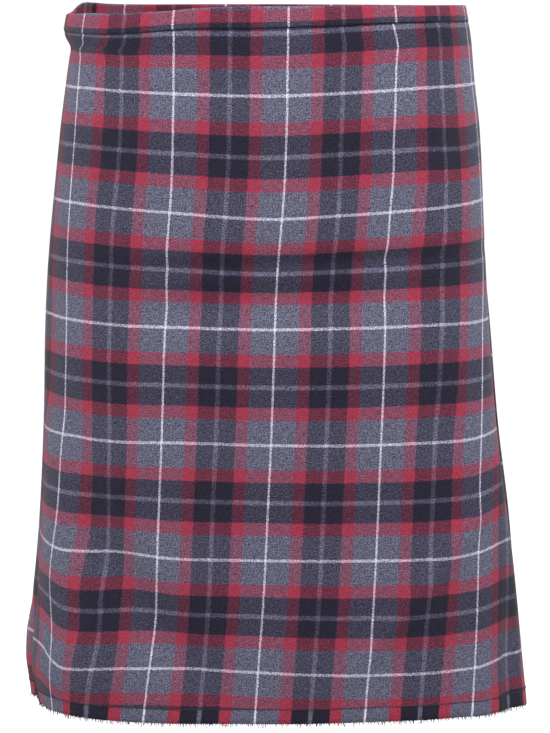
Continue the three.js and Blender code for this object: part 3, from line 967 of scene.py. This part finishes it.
def button_material():
    """Dark horn-like plastic with faint marbling and fine marks."""
    material, tree, shader = new_material("turned_button")
    coords = add(tree, "ShaderNodeTexCoord").outputs["Object"]
    marble = noise(tree, coords, 1 / (BUTTON_MARBLE * MM), 4.0, 0.6)["Fac"]
    dark, light = srgb(BUTTON_DARK) + [1.0], srgb(BUTTON_LIGHT) + [1.0]
    tree.links.new(blend(tree, "MIX", marble, dark, light), shader.inputs["Base Color"])
    marks = noise(tree, coords, 1 / (BUTTON_MARKS * MM), 2.0)["Fac"]
    rough = maths(tree, "MULTIPLY_ADD", marks, BUTTON_ROUGHNESS_SPREAD, BUTTON_ROUGHNESS)
    tree.links.new(rough, shader.inputs["Roughness"])
    raise_surface(tree, shader, marks, strength=0.1, distance=0.05 * MM)
    return material


def finish_of(name, make):
    """The material of this name, made the first time that a piece needs it."""
    return bpy.data.materials.get(name) or make()


def twill(cloth, colour_output="Colour"):
    """Brushed twill, or with the warp's colour alone the yarn that frays out of it."""
    name = "brushed_tartan" if colour_output == "Colour" else "frayed_yarn"
    group = bpy.data.node_groups.get("Tartan twill") or tartan_group(cloth)
    return finish_of(name, lambda: cloth_material(name, group, colour_output))


# ---- repeated pieces ----------------------------------------------------------------------------
def nodes_tree(name, numbers):
    """A new geometry tree with a guide, named numbers, a seed and a material as its inputs."""
    tree = bpy.data.node_groups.new(name, "GeometryNodeTree")
    tree.interface.new_socket("Geometry", in_out="INPUT", socket_type="NodeSocketGeometry")
    for label in numbers:
        tree.interface.new_socket(label, in_out="INPUT", socket_type="NodeSocketFloat")
    tree.interface.new_socket("Seed", in_out="INPUT", socket_type="NodeSocketInt")
    tree.interface.new_socket("Material", in_out="INPUT", socket_type="NodeSocketMaterial")
    tree.interface.new_socket("Geometry", in_out="OUTPUT", socket_type="NodeSocketGeometry")
    return tree, tree.nodes.new("NodeGroupInput").outputs, tree.nodes.new("NodeGroupOutput").inputs


def combine(tree, x=0.0, y=0.0, z=0.0):
    """The output of a node that makes a vector of three numbers."""
    return add(tree, "ShaderNodeCombineXYZ", {"X": x, "Y": y, "Z": z}).outputs[0]


def random_value(tree, kind, low, high, seed):
    """The output of a Random Value node for numbers or vectors."""
    node = add(tree, "FunctionNodeRandomValue", data_type=kind)
    for label, value in (("Min", low), ("Max", high), ("Seed", seed)):
        feed(tree, next(s for s in node.inputs if s.enabled and s.name == label), value)
    return next(s for s in node.outputs if s.enabled)


def end_tree(tree, result, geometry, material):
    """Realizes what was set, keeps its cloth coordinates as a UV map and gives it its material."""
    real = add(tree, "GeometryNodeRealizeInstances", {"Geometry": geometry}).outputs[0]
    cloth = add(tree, "GeometryNodeInputNamedAttribute", {"Name": "cloth"}, data_type="FLOAT_VECTOR")
    store = add(
        tree,
        "GeometryNodeStoreNamedAttribute",
        {"Geometry": real, "Name": "UVMap"},
        data_type="FLOAT2",
        domain="CORNER",
    )
    feed(tree, next(s for s in store.inputs if s.enabled and s.name == "Value"), cloth.outputs[0])
    dressed = add(tree, "GeometryNodeSetMaterial", {"Geometry": store.outputs[0], "Material": material})
    tree.links.new(dressed.outputs[0], result[0])


def spaced_points(tree, given):
    """The guide line as a curve with evenly spaced points."""
    curve = add(tree, "GeometryNodeMeshToCurve", {"Mesh": given["Geometry"]}).outputs[0]
    spacing = {"Curve": curve, "Length": given["Spacing"]}
    return add(tree, "GeometryNodeResampleCurve", spacing, mode="LENGTH").outputs[0]


BOWS = (-0.7, 0.1, 0.8)  # how far the ends of the three kinds of frayed yarn stray, in millimetres
SHORT_YARNS = 1.8  # a higher number makes more of the frayed yarns short
SPACING_JITTER = 0.5  # how far a frayed yarn lies from its even place, as a share of the spacing


def fringe_tree():
    """Frayed yarn ends that hang from a guide line."""
    tree, given, result = nodes_tree("Frayed edge", ["Spacing", "Shortest", "Longest", "Thickness", "Lean"])
    even = spaced_points(tree, given)
    strands = []
    for sway in BOWS:
        bow = add(
            tree,
            "GeometryNodeCurvePrimitiveBezierSegment",
            {
                "Resolution": 3,
                "Start": (0.0, 0.0, 0.35),
                "Start Handle": (0.0, 0.0, -0.2),
                "End Handle": (0.3 * sway * MM, 0.0, -0.7),
                "End": (sway * MM, 0.2 * sway * MM, -1.0),
            },
        ).outputs[0]
        half = maths(tree, "MULTIPLY", given["Thickness"], 0.5)
        circle = add(tree, "GeometryNodeCurvePrimitiveCircle", {"Resolution": 4, "Radius": half})
        tube = {"Curve": bow, "Profile Curve": circle.outputs[0], "Fill Caps": True}
        strands.append(add(tree, "GeometryNodeCurveToMesh", tube).outputs[0])
    variants = add(tree, "GeometryNodeGeometryToInstance")
    for strand in strands:
        tree.links.new(strand, variants.inputs[0])
    lean = given["Lean"]
    back = maths(tree, "MULTIPLY", lean, -1.0)
    least, most = combine(tree, back, back, 0.0), combine(tree, lean, lean, 2 * math.pi)
    turn = random_value(tree, "FLOAT_VECTOR", least, most, given["Seed"])
    length = random_value(tree, "FLOAT", 0.0, 1.0, given["Seed"])
    length = maths(tree, "POWER", length, SHORT_YARNS)
    span = maths(tree, "SUBTRACT", given["Longest"], given["Shortest"])
    length = maths(tree, "MULTIPLY_ADD", length, span, given["Shortest"])
    jitter = maths(tree, "MULTIPLY", given["Spacing"], SPACING_JITTER)
    back = maths(tree, "MULTIPLY", jitter, -1.0)
    least, most = combine(tree, back, back, 0.0), combine(tree, jitter, jitter, 0.0)
    aside = random_value(tree, "FLOAT_VECTOR", least, most, given["Seed"])
    moved = add(tree, "GeometryNodeSetPosition", {"Geometry": even, "Offset": aside}).outputs[0]
    picked = random_value(tree, "INT", 0, len(strands) - 1, given["Seed"])
    placed = add(
        tree,
        "GeometryNodeInstanceOnPoints",
        {
            "Points": moved,
            "Instance": variants.outputs[0],
            "Pick Instance": True,
            "Instance Index": picked,
            "Rotation": turn,
            "Scale": combine(tree, 1.0, 1.0, length),
        },
    ).outputs[0]
    end_tree(tree, result, placed, given["Material"])
    return tree


SMALLEST_STITCH = 0.9  # sizes of the stitches, beside their set size
LARGEST_STITCH = 1.08


def stitch_tree():
    """Short stitches that lie along a guide line."""
    tree, given, result = nodes_tree("Line of stitches", ["Spacing", "Length", "Thickness"])
    even = spaced_points(tree, given)
    ball = add(tree, "GeometryNodeMeshUVSphere", {"Segments": 6, "Rings": 5, "Radius": 0.5}).outputs[0]
    tangent = add(tree, "GeometryNodeInputTangent").outputs[0]
    turn = add(tree, "FunctionNodeAlignRotationToVector", {"Vector": tangent}, axis="X").outputs[0]
    size = combine(tree, given["Length"], given["Thickness"], given["Thickness"])
    uneven = random_value(tree, "FLOAT", SMALLEST_STITCH, LARGEST_STITCH, given["Seed"])
    size = vector_maths(tree, "SCALE", size, uneven)
    values = {"Points": even, "Instance": ball, "Rotation": turn, "Scale": size}
    placed = add(tree, "GeometryNodeInstanceOnPoints", values).outputs[0]
    end_tree(tree, result, placed, given["Material"])
    return tree


def grow(name, lines, make_tree, tree_name, values):
    """Sets a tree's pieces along guide lines and keeps the result as a plain mesh object."""
    guide = guide_object(name + "_guide", lines)
    modifier = guide.modifiers.new("Pieces", "NODES")
    modifier.node_group = bpy.data.node_groups.get(tree_name) or make_tree()
    for item in modifier.node_group.interface.items_tree:
        if item.in_out == "INPUT" and item.name in values:
            modifier[item.identifier] = values[item.name]
    graph = bpy.context.evaluated_depsgraph_get()
    grown = guide.evaluated_get(graph)
    mesh = bpy.data.meshes.new_from_object(grown, preserve_all_data_layers=True, depsgraph=graph)
    mesh.name = name
    bpy.data.objects.remove(guide)
    mesh.shade_smooth()
    return new_object(name, mesh)


def hem_lines(face, back, cloth, up):
    """Lines above the hem on both sides of a panel, at a distance up from its edge."""
    level = hem_level(face, up)
    low = int(level)
    t = level - low
    there, behind, uv = (grid[low] * (1 - t) + grid[low + 1] * t for grid in (face, back, cloth))
    return [(there, uv), (behind, uv)]


def edge_line(face, back, cloth):
    """The middle of a panel's raw edge."""
    return [((face[-1] + back[-1]) / 2, cloth[-1])]


# ---- settings -----------------------------------------------------------------------------------
def colour_property(name, description, default):
    """A display colour."""
    return FloatVectorProperty(
        name=name, description=description, default=default, subtype="COLOR_GAMMA", min=0.0, max=1.0
    )


def length_property(name, description, default):
    """A length in metres."""
    return FloatProperty(name=name, description=description, default=default, unit="LENGTH", min=0.0)


def share_property(name, description, default):
    """A number from 0 to 1."""
    return FloatProperty(name=name, description=description, default=default, min=0.0, max=1.0)


def strength_property(name, description, default):
    """A number from 0 up."""
    return FloatProperty(name=name, description=description, default=default, min=0.0)


def angle_property(name, description, default):
    """An angle in radians, shown in degrees."""
    return FloatProperty(
        name=name, description=description, default=default, subtype="ANGLE", unit="ROTATION"
    )


def power_property(name, description, default):
    """The power of a light in watts."""
    return FloatProperty(name=name, description=description, default=default, unit="POWER", min=0.0)


class SkirtCloth(PropertyGroup):
    """The tartan's yarns and weave."""

    white: colour_property("White", "Yarn of the fine lines", (0.7, 0.695, 0.745))
    grey: colour_property("Grey", "Heather yarn of the broad ground", (0.308, 0.307, 0.374))
    red: colour_property("Red", "Yarn of the red stripes", (0.506, 0.163, 0.236))
    black: colour_property("Black", "Yarn of the dark squares", (0.104, 0.093, 0.148))
    thread: colour_property("Thread", "Sewing thread of the hem and seams", (0.06, 0.055, 0.1))
    weft_share: share_property("Weft share", "How much the yarns across show", 0.58)
    blend: share_property("Blend", "How far yarns blend like fibres, not like dyes", 0.3)
    weave: strength_property("Weave", "How unevenly the two sets of yarns show", 2.0)
    heather: strength_property("Heather", "How much heather yarn differs along its length", 3.6)
    stray: length_property("Stray", "How far yarns wander", 1.2 * MM)
    yarn: length_property("Yarn", "Distance from one yarn to the next", 0.8 * MM)


class SkirtShape(PropertyGroup):
    """Sizes of the cloth pieces."""

    cell: length_property("Cell", "Size of the cloth's mesh cells", 3.6 * MM)
    cloth: length_property("Cloth", "Thickness of the cloth", 1.5 * MM)
    band_cloth: length_property("Band cloth", "Thickness of one layer of the waistband", 1.0 * MM)
    band_fold: length_property("Band fold", "Radius of the waistband's folded edge", 0.8 * MM)


class SkirtHem(PropertyGroup):
    """The stitched and frayed hem."""

    spacing: length_property("Spacing", "Distance between frayed yarns", 0.62 * MM)
    shortest: length_property("Shortest", "Shortest frayed yarn", 0.9 * MM)
    longest: length_property("Longest", "Longest frayed yarn", 4.2 * MM)
    yarn: length_property("Yarn", "Thickness of a frayed yarn", 0.5 * MM)
    lean: angle_property("Lean", "How far yarns lean", 0.3)
    stitch_up: length_property("Stitching height", "Height of the stitching above the raw edge", 10.8 * MM)
    stitch: length_property("Stitch", "Length of a stitch", 2.5 * MM)
    stitch_step: length_property("Stitch step", "Distance from one stitch to the next", 2.8 * MM)
    stitch_thick: length_property("Stitch thickness", "Thickness of the thread", 1.1 * MM)
    seed: IntProperty(name="Seed", description="Changes how the yarns fall", default=7)


class SkirtButton(PropertyGroup):
    """The button that closes the lap at the hip."""

    radius: length_property("Radius", "Radius of the button", 7.0 * MM)
    thickness: length_property("Thickness", "Thickness of the button's disc", 2.2 * MM)
    rounding: length_property("Rounding", "Radius of its rounded edges", 0.5 * MM)
    rim: length_property("Rim", "Half thickness of its raised rim", 0.6 * MM)
    hole: length_property("Hole", "Radius of a hole", 0.9 * MM)
    hole_offset: length_property("Hole offset", "How far the holes lie from the middle, both ways", 1.6 * MM)
    gap: length_property("Gap", "From the cloth to the button's back", 0.9 * MM)
    thread: length_property("Thread", "Thickness of its thread", 0.6 * MM)


class SkirtStage(PropertyGroup):
    """Camera, floor and light."""

    distance: length_property("Camera distance", "From the skirt's middle plane to the camera", 2.7)
    height: length_property("Camera height", "Above the waist", 0.0745)
    pitch: angle_property("Pitch", "How far down it looks", math.radians(7.7))
    lens: FloatProperty(name="Lens", description="Focal length in millimetres", default=221.9, unit="CAMERA")
    floor: length_property("Floor", "From the waist down to the floor", 1.0)
    key: power_property("Key light", "Power of the main soft light", 18.0)
    fill: power_property("Fill lights", "Power of the left and back soft lights", 12.0)
    right: power_property("Right light", "Power of the right soft light", 13.0)
    ambient: strength_property("Ambient", "Strength of the light from all round", 0.2)
    overhead: strength_property("Overhead", "How much stronger it is straight above", 1.35)


# ---- operators ----------------------------------------------------------------------------------
class SKIRT_OT_front_apron(Operator):
    """Build the front apron, its stitched hem and its frayed edge"""

    bl_idname = "skirt.front_apron"
    bl_label = "Front apron"

    def execute(self, context):
        scene = context.scene
        face, back, cloth = build_apron(scene.skirt_shape)
        apron = shell("Front_apron_cloth", face, back, cloth, frayed_row(face, scene.skirt_hem))
        settle(apron, panel_materials(scene), "front_apron")
        trim = panel_trim("Front", face, back, cloth, scene)
        return {"FINISHED"}


class SKIRT_OT_pleated_back(Operator):
    """Build the knife-pleated back, its stitched hem and its frayed edge"""

    bl_idname = "skirt.pleated_back"
    bl_label = "Pleated back"

    def execute(self, context):
        scene = context.scene
        face, back, cloth = build_back(scene.skirt_shape)
        panel = shell("Pleated_back_cloth", face, back, cloth, frayed_row(face, scene.skirt_hem))
        settle(panel, panel_materials(scene), "pleated_back")
        trim = panel_trim("Back", face, back, cloth, scene)
        return {"FINISHED"}


def panel_materials(scene):
    """The materials of a panel: its cloth, and the yarn that is left bare below the hem's stitching."""
    return [twill(scene.skirt_cloth), twill(scene.skirt_cloth, "Warp Colour")]


def hem_level(face, up):
    """Which row of a panel lies a distance up from its edge, with its fraction."""
    middle = face.shape[1] // 2
    above = face[:, middle, 2] - face[-1, middle, 2]
    return float(np.interp(-up, -above, np.arange(len(above))))


def frayed_row(face, hem):
    """The first row of a panel below its hem's stitching."""
    return int(hem_level(face, hem.stitch_up)) + 1


# The waist's dark stitches lie in the seam's ditch: real stitching that also stands in for the seam's shadow
# line, as painted shade.
WAIST_STITCHES_AT = 0.3  # place of the waist's stitches, as a share of a panel's first row of cells


def panel_trim(side, face, back, cloth, scene):
    """The stitches at one panel's waist and hem, and the frayed yarns of its edge. The dark waist stitches
    also stand in for the shadow under the waistband, as painted shade.
    """
    hem, colours = scene.skirt_hem, scene.skirt_cloth
    thread = finish_of("sewing_thread", lambda: thread_material(colours))
    # dark stitches along the waist seam, partly painted shade for the shadow line under the waistband
    waist_stitches_and_shade_line = face[0] + (face[1] - face[0]) * WAIST_STITCHES_AT
    stitches = grow(
        side + "_stitching",
        hem_lines(face, back, cloth, hem.stitch_up) + [(waist_stitches_and_shade_line, cloth[0])],
        stitch_tree,
        "Line of stitches",
        {
            "Spacing": hem.stitch_step,
            "Length": hem.stitch,
            "Thickness": hem.stitch_thick,
            "Seed": hem.seed,
            "Material": thread,
        },
    )
    settle(stitches, [thread])
    yarn = twill(colours, "Warp Colour")
    fringe = grow(
        side + "_frayed_edge",
        edge_line(face, back, cloth),
        fringe_tree,
        "Frayed edge",
        {
            "Spacing": hem.spacing,
            "Shortest": hem.shortest,
            "Longest": hem.longest,
            "Thickness": hem.yarn,
            "Lean": hem.lean,
            "Seed": hem.seed,
            "Material": yarn,
        },
    )
    settle(fringe, [yarn])
    return [stitches, fringe]


def stops_on_front(line):
    """Arcs of the front band's columns: the lap, its climb down, and the rest."""
    seam = arc_at(line, FRONT_FROM)
    fine = np.arange(-LAP_LENGTH, LAP_RISE + 1, LAP_STEP)
    rest = np.linspace(LAP_RISE + 1, whole_arc(line) - seam, FRONT_BAND_COLUMNS)
    return seam + np.concatenate([fine, rest])


def over_back_band(line, arc):
    """How far the front band stands out: over the back band on the lap, and level past it."""
    seam = arc_at(line, FRONT_FROM)
    return LAP_STAND_OFF * (1 - ease((arc - seam) / LAP_RISE))


class SKIRT_OT_waistband(Operator):
    """Build both halves of the waistband, folded over at the top, with the lap at the left hip"""

    bl_idname = "skirt.waistband"
    bl_label = "Waistband"

    def execute(self, context):
        scene = context.scene
        shape = scene.skirt_shape
        material = [twill(scene.skirt_cloth)]

        def front_warp(line, arc):
            across = arc - centre_arc(line)
            return apron_cloth(across, 0.0 * across)[..., 0] * SETT

        def front_facing(line, arc):
            back_length = whole_arc(ring(0, RIGHT_SEAM, LEFT_SEAM))
            seam = arc_at(line, FRONT_FROM)
            near_lap = arc - seam < LAP_FACING
            return np.where(near_lap, arc - seam + back_length + BACK_BAND_WARP_AT, front_warp(line, arc))

        def back_arcs(line):
            return np.linspace(SEAM_GAP, whole_arc(line) - SEAM_GAP, BACK_BAND_COLUMNS)

        def back_warp(line, arc):
            return arc + BACK_BAND_WARP_AT

        front = shell(
            "Front_waistband_cloth",
            *build_band(
                shape,
                FRONT_FROM - LAP_ANGLE,
                RIGHT_SEAM,
                stops_on_front,
                over_back_band,
                front_warp,
                front_facing,
                FRONT_BAND_WEFT_AT,
            ),
        )
        settle(front, material, "waistband_front")
        back = shell(
            "Back_waistband_cloth",
            *build_band(
                shape,
                RIGHT_SEAM,
                LEFT_SEAM,
                back_arcs,
                lambda line, arc: 0.0 * arc,
                back_warp,
                back_warp,
                BACK_BAND_WEFT_AT,
            ),
        )
        settle(back, material, "waistband_back")
        return {"FINISHED"}


class SKIRT_OT_hip_button(Operator):
    """Finish the button that closes the lap, and sew it on"""

    bl_idname = "skirt.hip_button"
    bl_label = "Hip button"

    def execute(self, context):
        scene = context.scene
        size = scene.skirt_button
        centre, across, out = button_place()
        up = out.cross(across)
        frame_of = Matrix((across, up, out)).transposed().to_4x4()
        frame_of.translation = centre
        button = turned_button(size)
        button.data.transform(frame_of)
        settle(button, [finish_of("turned_button", button_material)], "hip_button", slot="button_plastic")
        thread = finish_of("sewing_thread", lambda: thread_material(scene.skirt_cloth))
        stitches = button_thread(size)
        stitches.data.transform(frame_of)
        settle(stitches, [thread])
        edging = buttonhole(size, centre, across, up, thread)
        settle(edging, [thread])
        return {"FINISHED"}


def button_place():
    """The place of the button's middle on the lap's face, and the directions across and out of it."""
    line = ring(UNDER_BAND / 2, FRONT_FROM - LAP_ANGLE, RIGHT_SEAM)
    seam = arc_at(line, FRONT_FROM)
    arc = seam - LAP_LENGTH + BUTTON_INSET
    x, y, nx, ny = on_ring(line, arc, LAP_STAND_OFF)
    angle = np.interp(arc, line["arc"], line["angle"])
    z = -waist("dip", angle) - waist("band", angle) / 2 - BUTTON_DROP
    return Vector((x, y, z)) * MM, Vector((-ny, nx, 0)), Vector((nx, ny, 0))


BUTTON_FINENESS = 12  # steps in each quarter of the button's circles
BUTTON_ROUNDNESS = 3  # steps round its edges
RIM_INSET = 1.3  # from the button's edge to the middle of its rim, in half thicknesses of the rim
RIM_SUNK = 0.3  # how far the rim's middle lies below the disc's face, in the same measure
SHARPEST_SMOOTH = math.radians(50)  # edges of the button that turn by more than this stay sharp


def turned_button(size):
    """A four-hole button with a raised rim and rounded edges, its face along +Z, as one mesh."""
    outline = bpy.data.curves.new("button_outline", "CURVE")
    outline.dimensions = "2D"
    outline.fill_mode = "BOTH"
    outline.resolution_u = BUTTON_FINENESS
    hole = size.hole_offset
    circles = [((0, 0), size.radius - size.rounding)]
    circles += [((x, y), size.hole) for x in (-hole, hole) for y in (-hole, hole)]
    for at, radius in circles:
        add_circle(outline, at, radius)
    outline.extrude = size.thickness / 2 - size.rounding
    outline.bevel_depth = size.rounding
    outline.bevel_resolution = BUTTON_ROUNDNESS
    disc = plain_mesh("button_outline", outline)
    rim = bpy.data.curves.new("button_rim", "CURVE")
    rim.dimensions = "3D"
    rim.resolution_u = BUTTON_FINENESS
    rim.bevel_depth = size.rim
    rim.bevel_resolution = BUTTON_ROUNDNESS
    add_circle(rim, (0, 0), size.radius - RIM_INSET * size.rim)
    ring_mesh = plain_mesh("button_rim", rim)
    lift = size.gap + size.thickness / 2
    disc.transform(Matrix.Translation((0, 0, lift)))
    ring_mesh.transform(Matrix.Translation((0, 0, lift + size.thickness / 2 - size.rim * RIM_SUNK)))
    return joined("Four_hole_button", [disc, ring_mesh])


def add_circle(curve, at, radius):
    """Adds a closed round spline to a curve."""
    spline = curve.splines.new("BEZIER")
    spline.bezier_points.add(3)
    spline.use_cyclic_u = True
    handle = radius * 4 / 3 * (math.sqrt(2) - 1)
    for k, point in enumerate(spline.bezier_points):
        c, s = round(math.cos(k * math.pi / 2)), round(math.sin(k * math.pi / 2))
        point.co = (at[0] + radius * c, at[1] + radius * s, 0)
        point.handle_left = (point.co[0] + handle * s, point.co[1] - handle * c, 0)
        point.handle_right = (point.co[0] - handle * s, point.co[1] + handle * c, 0)


def plain_mesh(name, curve):
    """A curve's shape as a mesh whose faces share their vertices."""
    obj = new_object(name, curve)
    graph = bpy.context.evaluated_depsgraph_get()
    mesh = bpy.data.meshes.new_from_object(obj.evaluated_get(graph))
    bpy.data.objects.remove(obj)
    work = bmesh.new()
    work.from_mesh(mesh)
    bmesh.ops.remove_doubles(work, verts=work.verts, dist=0.001 * MM)
    bmesh.ops.recalc_face_normals(work, faces=work.faces)
    work.to_mesh(mesh)
    work.free()
    return mesh


def joined(name, meshes):
    """One smooth object from several meshes."""
    work = bmesh.new()
    for mesh in meshes:
        work.from_mesh(mesh)
        bpy.data.meshes.remove(mesh)
    result = bpy.data.meshes.new(name)
    work.to_mesh(result)
    work.free()
    result.shade_smooth()
    result.set_sharp_from_angle(angle=SHARPEST_SMOOTH)
    return new_object(name, result)


BESIDE = (-0.4, 0.4)  # places of two threads beside each other, in thicknesses of the thread


def button_thread(size):
    """Two bars of thread across the button's holes that run down through them into the cloth."""
    threads = bpy.data.curves.new("button_thread", "CURVE")
    threads.dimensions = "3D"
    threads.bevel_depth = size.thread / 2
    threads.bevel_resolution = 1
    threads.use_fill_caps = True
    hole = size.hole_offset
    top = size.gap + size.thickness + size.thread / 3
    for y in (-hole, hole):
        for aside in BESIDE:
            across = y + aside * size.thread
            points = ((-hole, -size.thread), (-hole, top), (hole, top), (hole, -size.thread))
            spline = threads.splines.new("POLY")
            spline.points.add(len(points) - 1)
            for point, (x, z) in zip(spline.points, points):
                point.co = (x, across, z, 1)
    return joined("Button_thread", [plain_mesh("button_thread", threads)])


LOOP_POINTS = 17  # points round the buttonhole
LOOP_BACK = 0.75  # how far the buttonhole lies aside of the button's middle, in radii of the button


def buttonhole(size, centre, across, up, thread):
    """The stitched edge of the slit that the button passes through, which shows beside the button."""
    half, wide = size.radius + size.thickness / 2, size.thread
    start = size.radius * LOOP_BACK
    line = []
    for turn in np.linspace(0, 2 * math.pi, LOOP_POINTS):
        x = half * math.copysign(1, math.cos(turn)) + wide * math.cos(turn)
        y = wide * math.sin(turn)
        line.append(on_lap(centre + across * (x - start) + up * y))
    return grow(
        "Buttonhole_edge",
        [(line, [(0.0, 0.0)] * len(line))],
        stitch_tree,
        "Line of stitches",
        {
            "Spacing": size.thread * 0.8,
            "Length": size.thread * 0.75,
            "Thickness": size.thread * 1.3,
            "Seed": 1,
            "Material": thread,
        },
    )


LAP_SEARCH = 60  # arc in which the lap's face is looked for
LAP_SEARCH_POINTS = 601


def on_lap(spot):
    """The point of the lap's face nearest to a spot beside it."""
    line = ring(UNDER_BAND / 2, FRONT_FROM - LAP_ANGLE, RIGHT_SEAM)
    arc = np.linspace(0, LAP_SEARCH, LAP_SEARCH_POINTS)
    face = on_ring(line, arc, LAP_STAND_OFF)
    k = np.argmin(np.hypot(face[:, 0] - spot[0] / MM, face[:, 1] - spot[1] / MM))
    return Vector((face[k, 0] * MM, face[k, 1] * MM, spot[2]))


CAMERA_ASIDE = 0.007
SENSOR_WIDTH = 36  # in millimetres, as the lens is
FARTHEST_SEEN = 200
LIGHTS_AIM = (0, 0, -0.1)
# Soft lights: name, place, size, and the setting that gives their power.
LIGHTS = (
    ("Key", (0.08, -0.87, 0.78), 0.9, "key"),
    ("Left", (-1.5, -0.2, 0.3), 1.2, "fill"),
    ("Right", (1.5, -0.2, 0.6), 1.2, "right"),
    ("Back", (0.4, 2.0, 1.4), 1.6, "fill"),
)
FLOOR_RADIUS = 60
FLOOR_SIDES = 63
# The floor's painted shadow goes from dark to pale between these two distances from the waist, so that
# right under the skirt it throws less light up.
FLOOR_SHADOW_NEAR = 0.5
FLOOR_SHADOW_FAR = 2.1
# the painted shadow's darkest colour, and the floor's pale one
FLOOR_PAINTED_SHADOW = (0.12, 0.12, 0.12, 1.0)
FLOOR_PALE = (0.96, 0.96, 0.96, 1.0)


class SKIRT_OT_stage(Operator):
    """Set up the camera, the pale floor and soft studio light"""

    bl_idname = "skirt.stage"
    bl_label = "Stage"

    def execute(self, context):
        scene = context.scene
        stage = scene.skirt_stage
        camera = bpy.data.objects.new("Camera", bpy.data.cameras.new("Camera"))
        scene.collection.objects.link(camera)
        camera.location = (CAMERA_ASIDE, -stage.distance, stage.height)
        camera.rotation_euler = (math.pi / 2 - stage.pitch, 0, 0)
        camera.data.sensor_fit = "HORIZONTAL"
        camera.data.sensor_width = SENSOR_WIDTH
        camera.data.lens = stage.lens
        camera.data.clip_end = FARTHEST_SEEN
        scene.camera = camera

        floor = floor_disc(-stage.floor)
        world = bpy.data.worlds.new("Studio")
        world.use_nodes = True
        tree = world.node_tree
        background = tree.nodes["Background"]
        background.inputs["Color"].default_value = (1.0, 1.0, 1.0, 1.0)
        direction = add(tree, "ShaderNodeTexCoord").outputs["Generated"]
        upwards = add(tree, "ShaderNodeSeparateXYZ", {0: direction}).outputs["Z"]
        overhead = maths(tree, "MULTIPLY", maths(tree, "MAXIMUM", upwards, 0.0), stage.overhead)
        tree.links.new(maths(tree, "ADD", overhead, stage.ambient), background.inputs["Strength"])
        scene.world = world
        scene.view_settings.view_transform = "Standard"
        for name, place, size, power in LIGHTS:
            area_light(name, place, size, getattr(stage, power))
        return {"FINISHED"}


def floor_disc(height):
    """A wide pale floor with a painted shadow, darker right under the skirt."""
    mesh = bpy.data.meshes.new("Floor")
    turns = np.linspace(0, 2 * math.pi, FLOOR_SIDES + 1)[:-1]
    edge = [(FLOOR_RADIUS * math.cos(a), FLOOR_RADIUS * math.sin(a), height) for a in turns]
    mesh.from_pydata(edge, [], [list(range(len(edge)))])
    material, tree, shader = new_material("pale_floor")
    place = add(tree, "ShaderNodeTexCoord").outputs["Object"]
    reach = add(tree, "ShaderNodeVectorMath", {0: place}, operation="LENGTH").outputs["Value"]
    limits = {"Value": reach, "From Min": FLOOR_SHADOW_NEAR, "From Max": FLOOR_SHADOW_FAR}
    far = add(tree, "ShaderNodeMapRange", limits).outputs[0]
    # painted shadow: the floor's colour darkens towards the skirt
    tree.links.new(blend(tree, "MIX", far, FLOOR_PAINTED_SHADOW, FLOOR_PALE), shader.inputs["Base Color"])
    shader.inputs["Roughness"].default_value = 0.9
    shader.inputs["Specular IOR Level"].default_value = 0.1
    mesh.materials.append(material)
    return new_object("Floor", mesh)


def area_light(name, place, size, power):
    """A square soft light that faces the skirt."""
    light = new_object(name, bpy.data.lights.new(name, "AREA"))
    light.data.size = size
    light.data.energy = power
    light.location = place
    light.rotation_euler = (Vector(LIGHTS_AIM) - Vector(place)).to_track_quat("-Z", "Y").to_euler()


class SKIRT_PT_panel(Panel):
    """Lists the skirt's pieces and settings"""

    bl_idname = "SKIRT_PT_panel"
    bl_label = "Pleated tartan skirt"
    bl_space_type = "VIEW_3D"
    bl_region_type = "UI"
    bl_category = "Skirt"

    def draw(self, context):
        layout = self.layout
        for step in STEPS:
            layout.operator(step.bl_idname)
        for name in SETTINGS:
            settings = getattr(context.scene, name)
            box = layout.box()
            for key in settings.__annotations__:
                box.prop(settings, key)


SETTINGS = {
    "skirt_cloth": SkirtCloth,
    "skirt_shape": SkirtShape,
    "skirt_hem": SkirtHem,
    "skirt_button": SkirtButton,
    "skirt_stage": SkirtStage,
}
STEPS = (
    SKIRT_OT_stage,
    SKIRT_OT_front_apron,
    SKIRT_OT_pleated_back,
    SKIRT_OT_waistband,
    SKIRT_OT_hip_button,
)


def register():
    for cls in (*SETTINGS.values(), *STEPS, SKIRT_PT_panel):
        bpy.utils.register_class(cls)
    for name, cls in SETTINGS.items():
        setattr(bpy.types.Scene, name, PointerProperty(type=cls))


def unregister():
    for name in SETTINGS:
        delattr(bpy.types.Scene, name)
    for cls in reversed((*SETTINGS.values(), *STEPS, SKIRT_PT_panel)):
        bpy.utils.unregister_class(cls)


def main():
    register()
    for step in STEPS:
        getattr(bpy.ops.skirt, step.bl_idname.split(".")[1])()


if __name__ == "__main__":
    main()
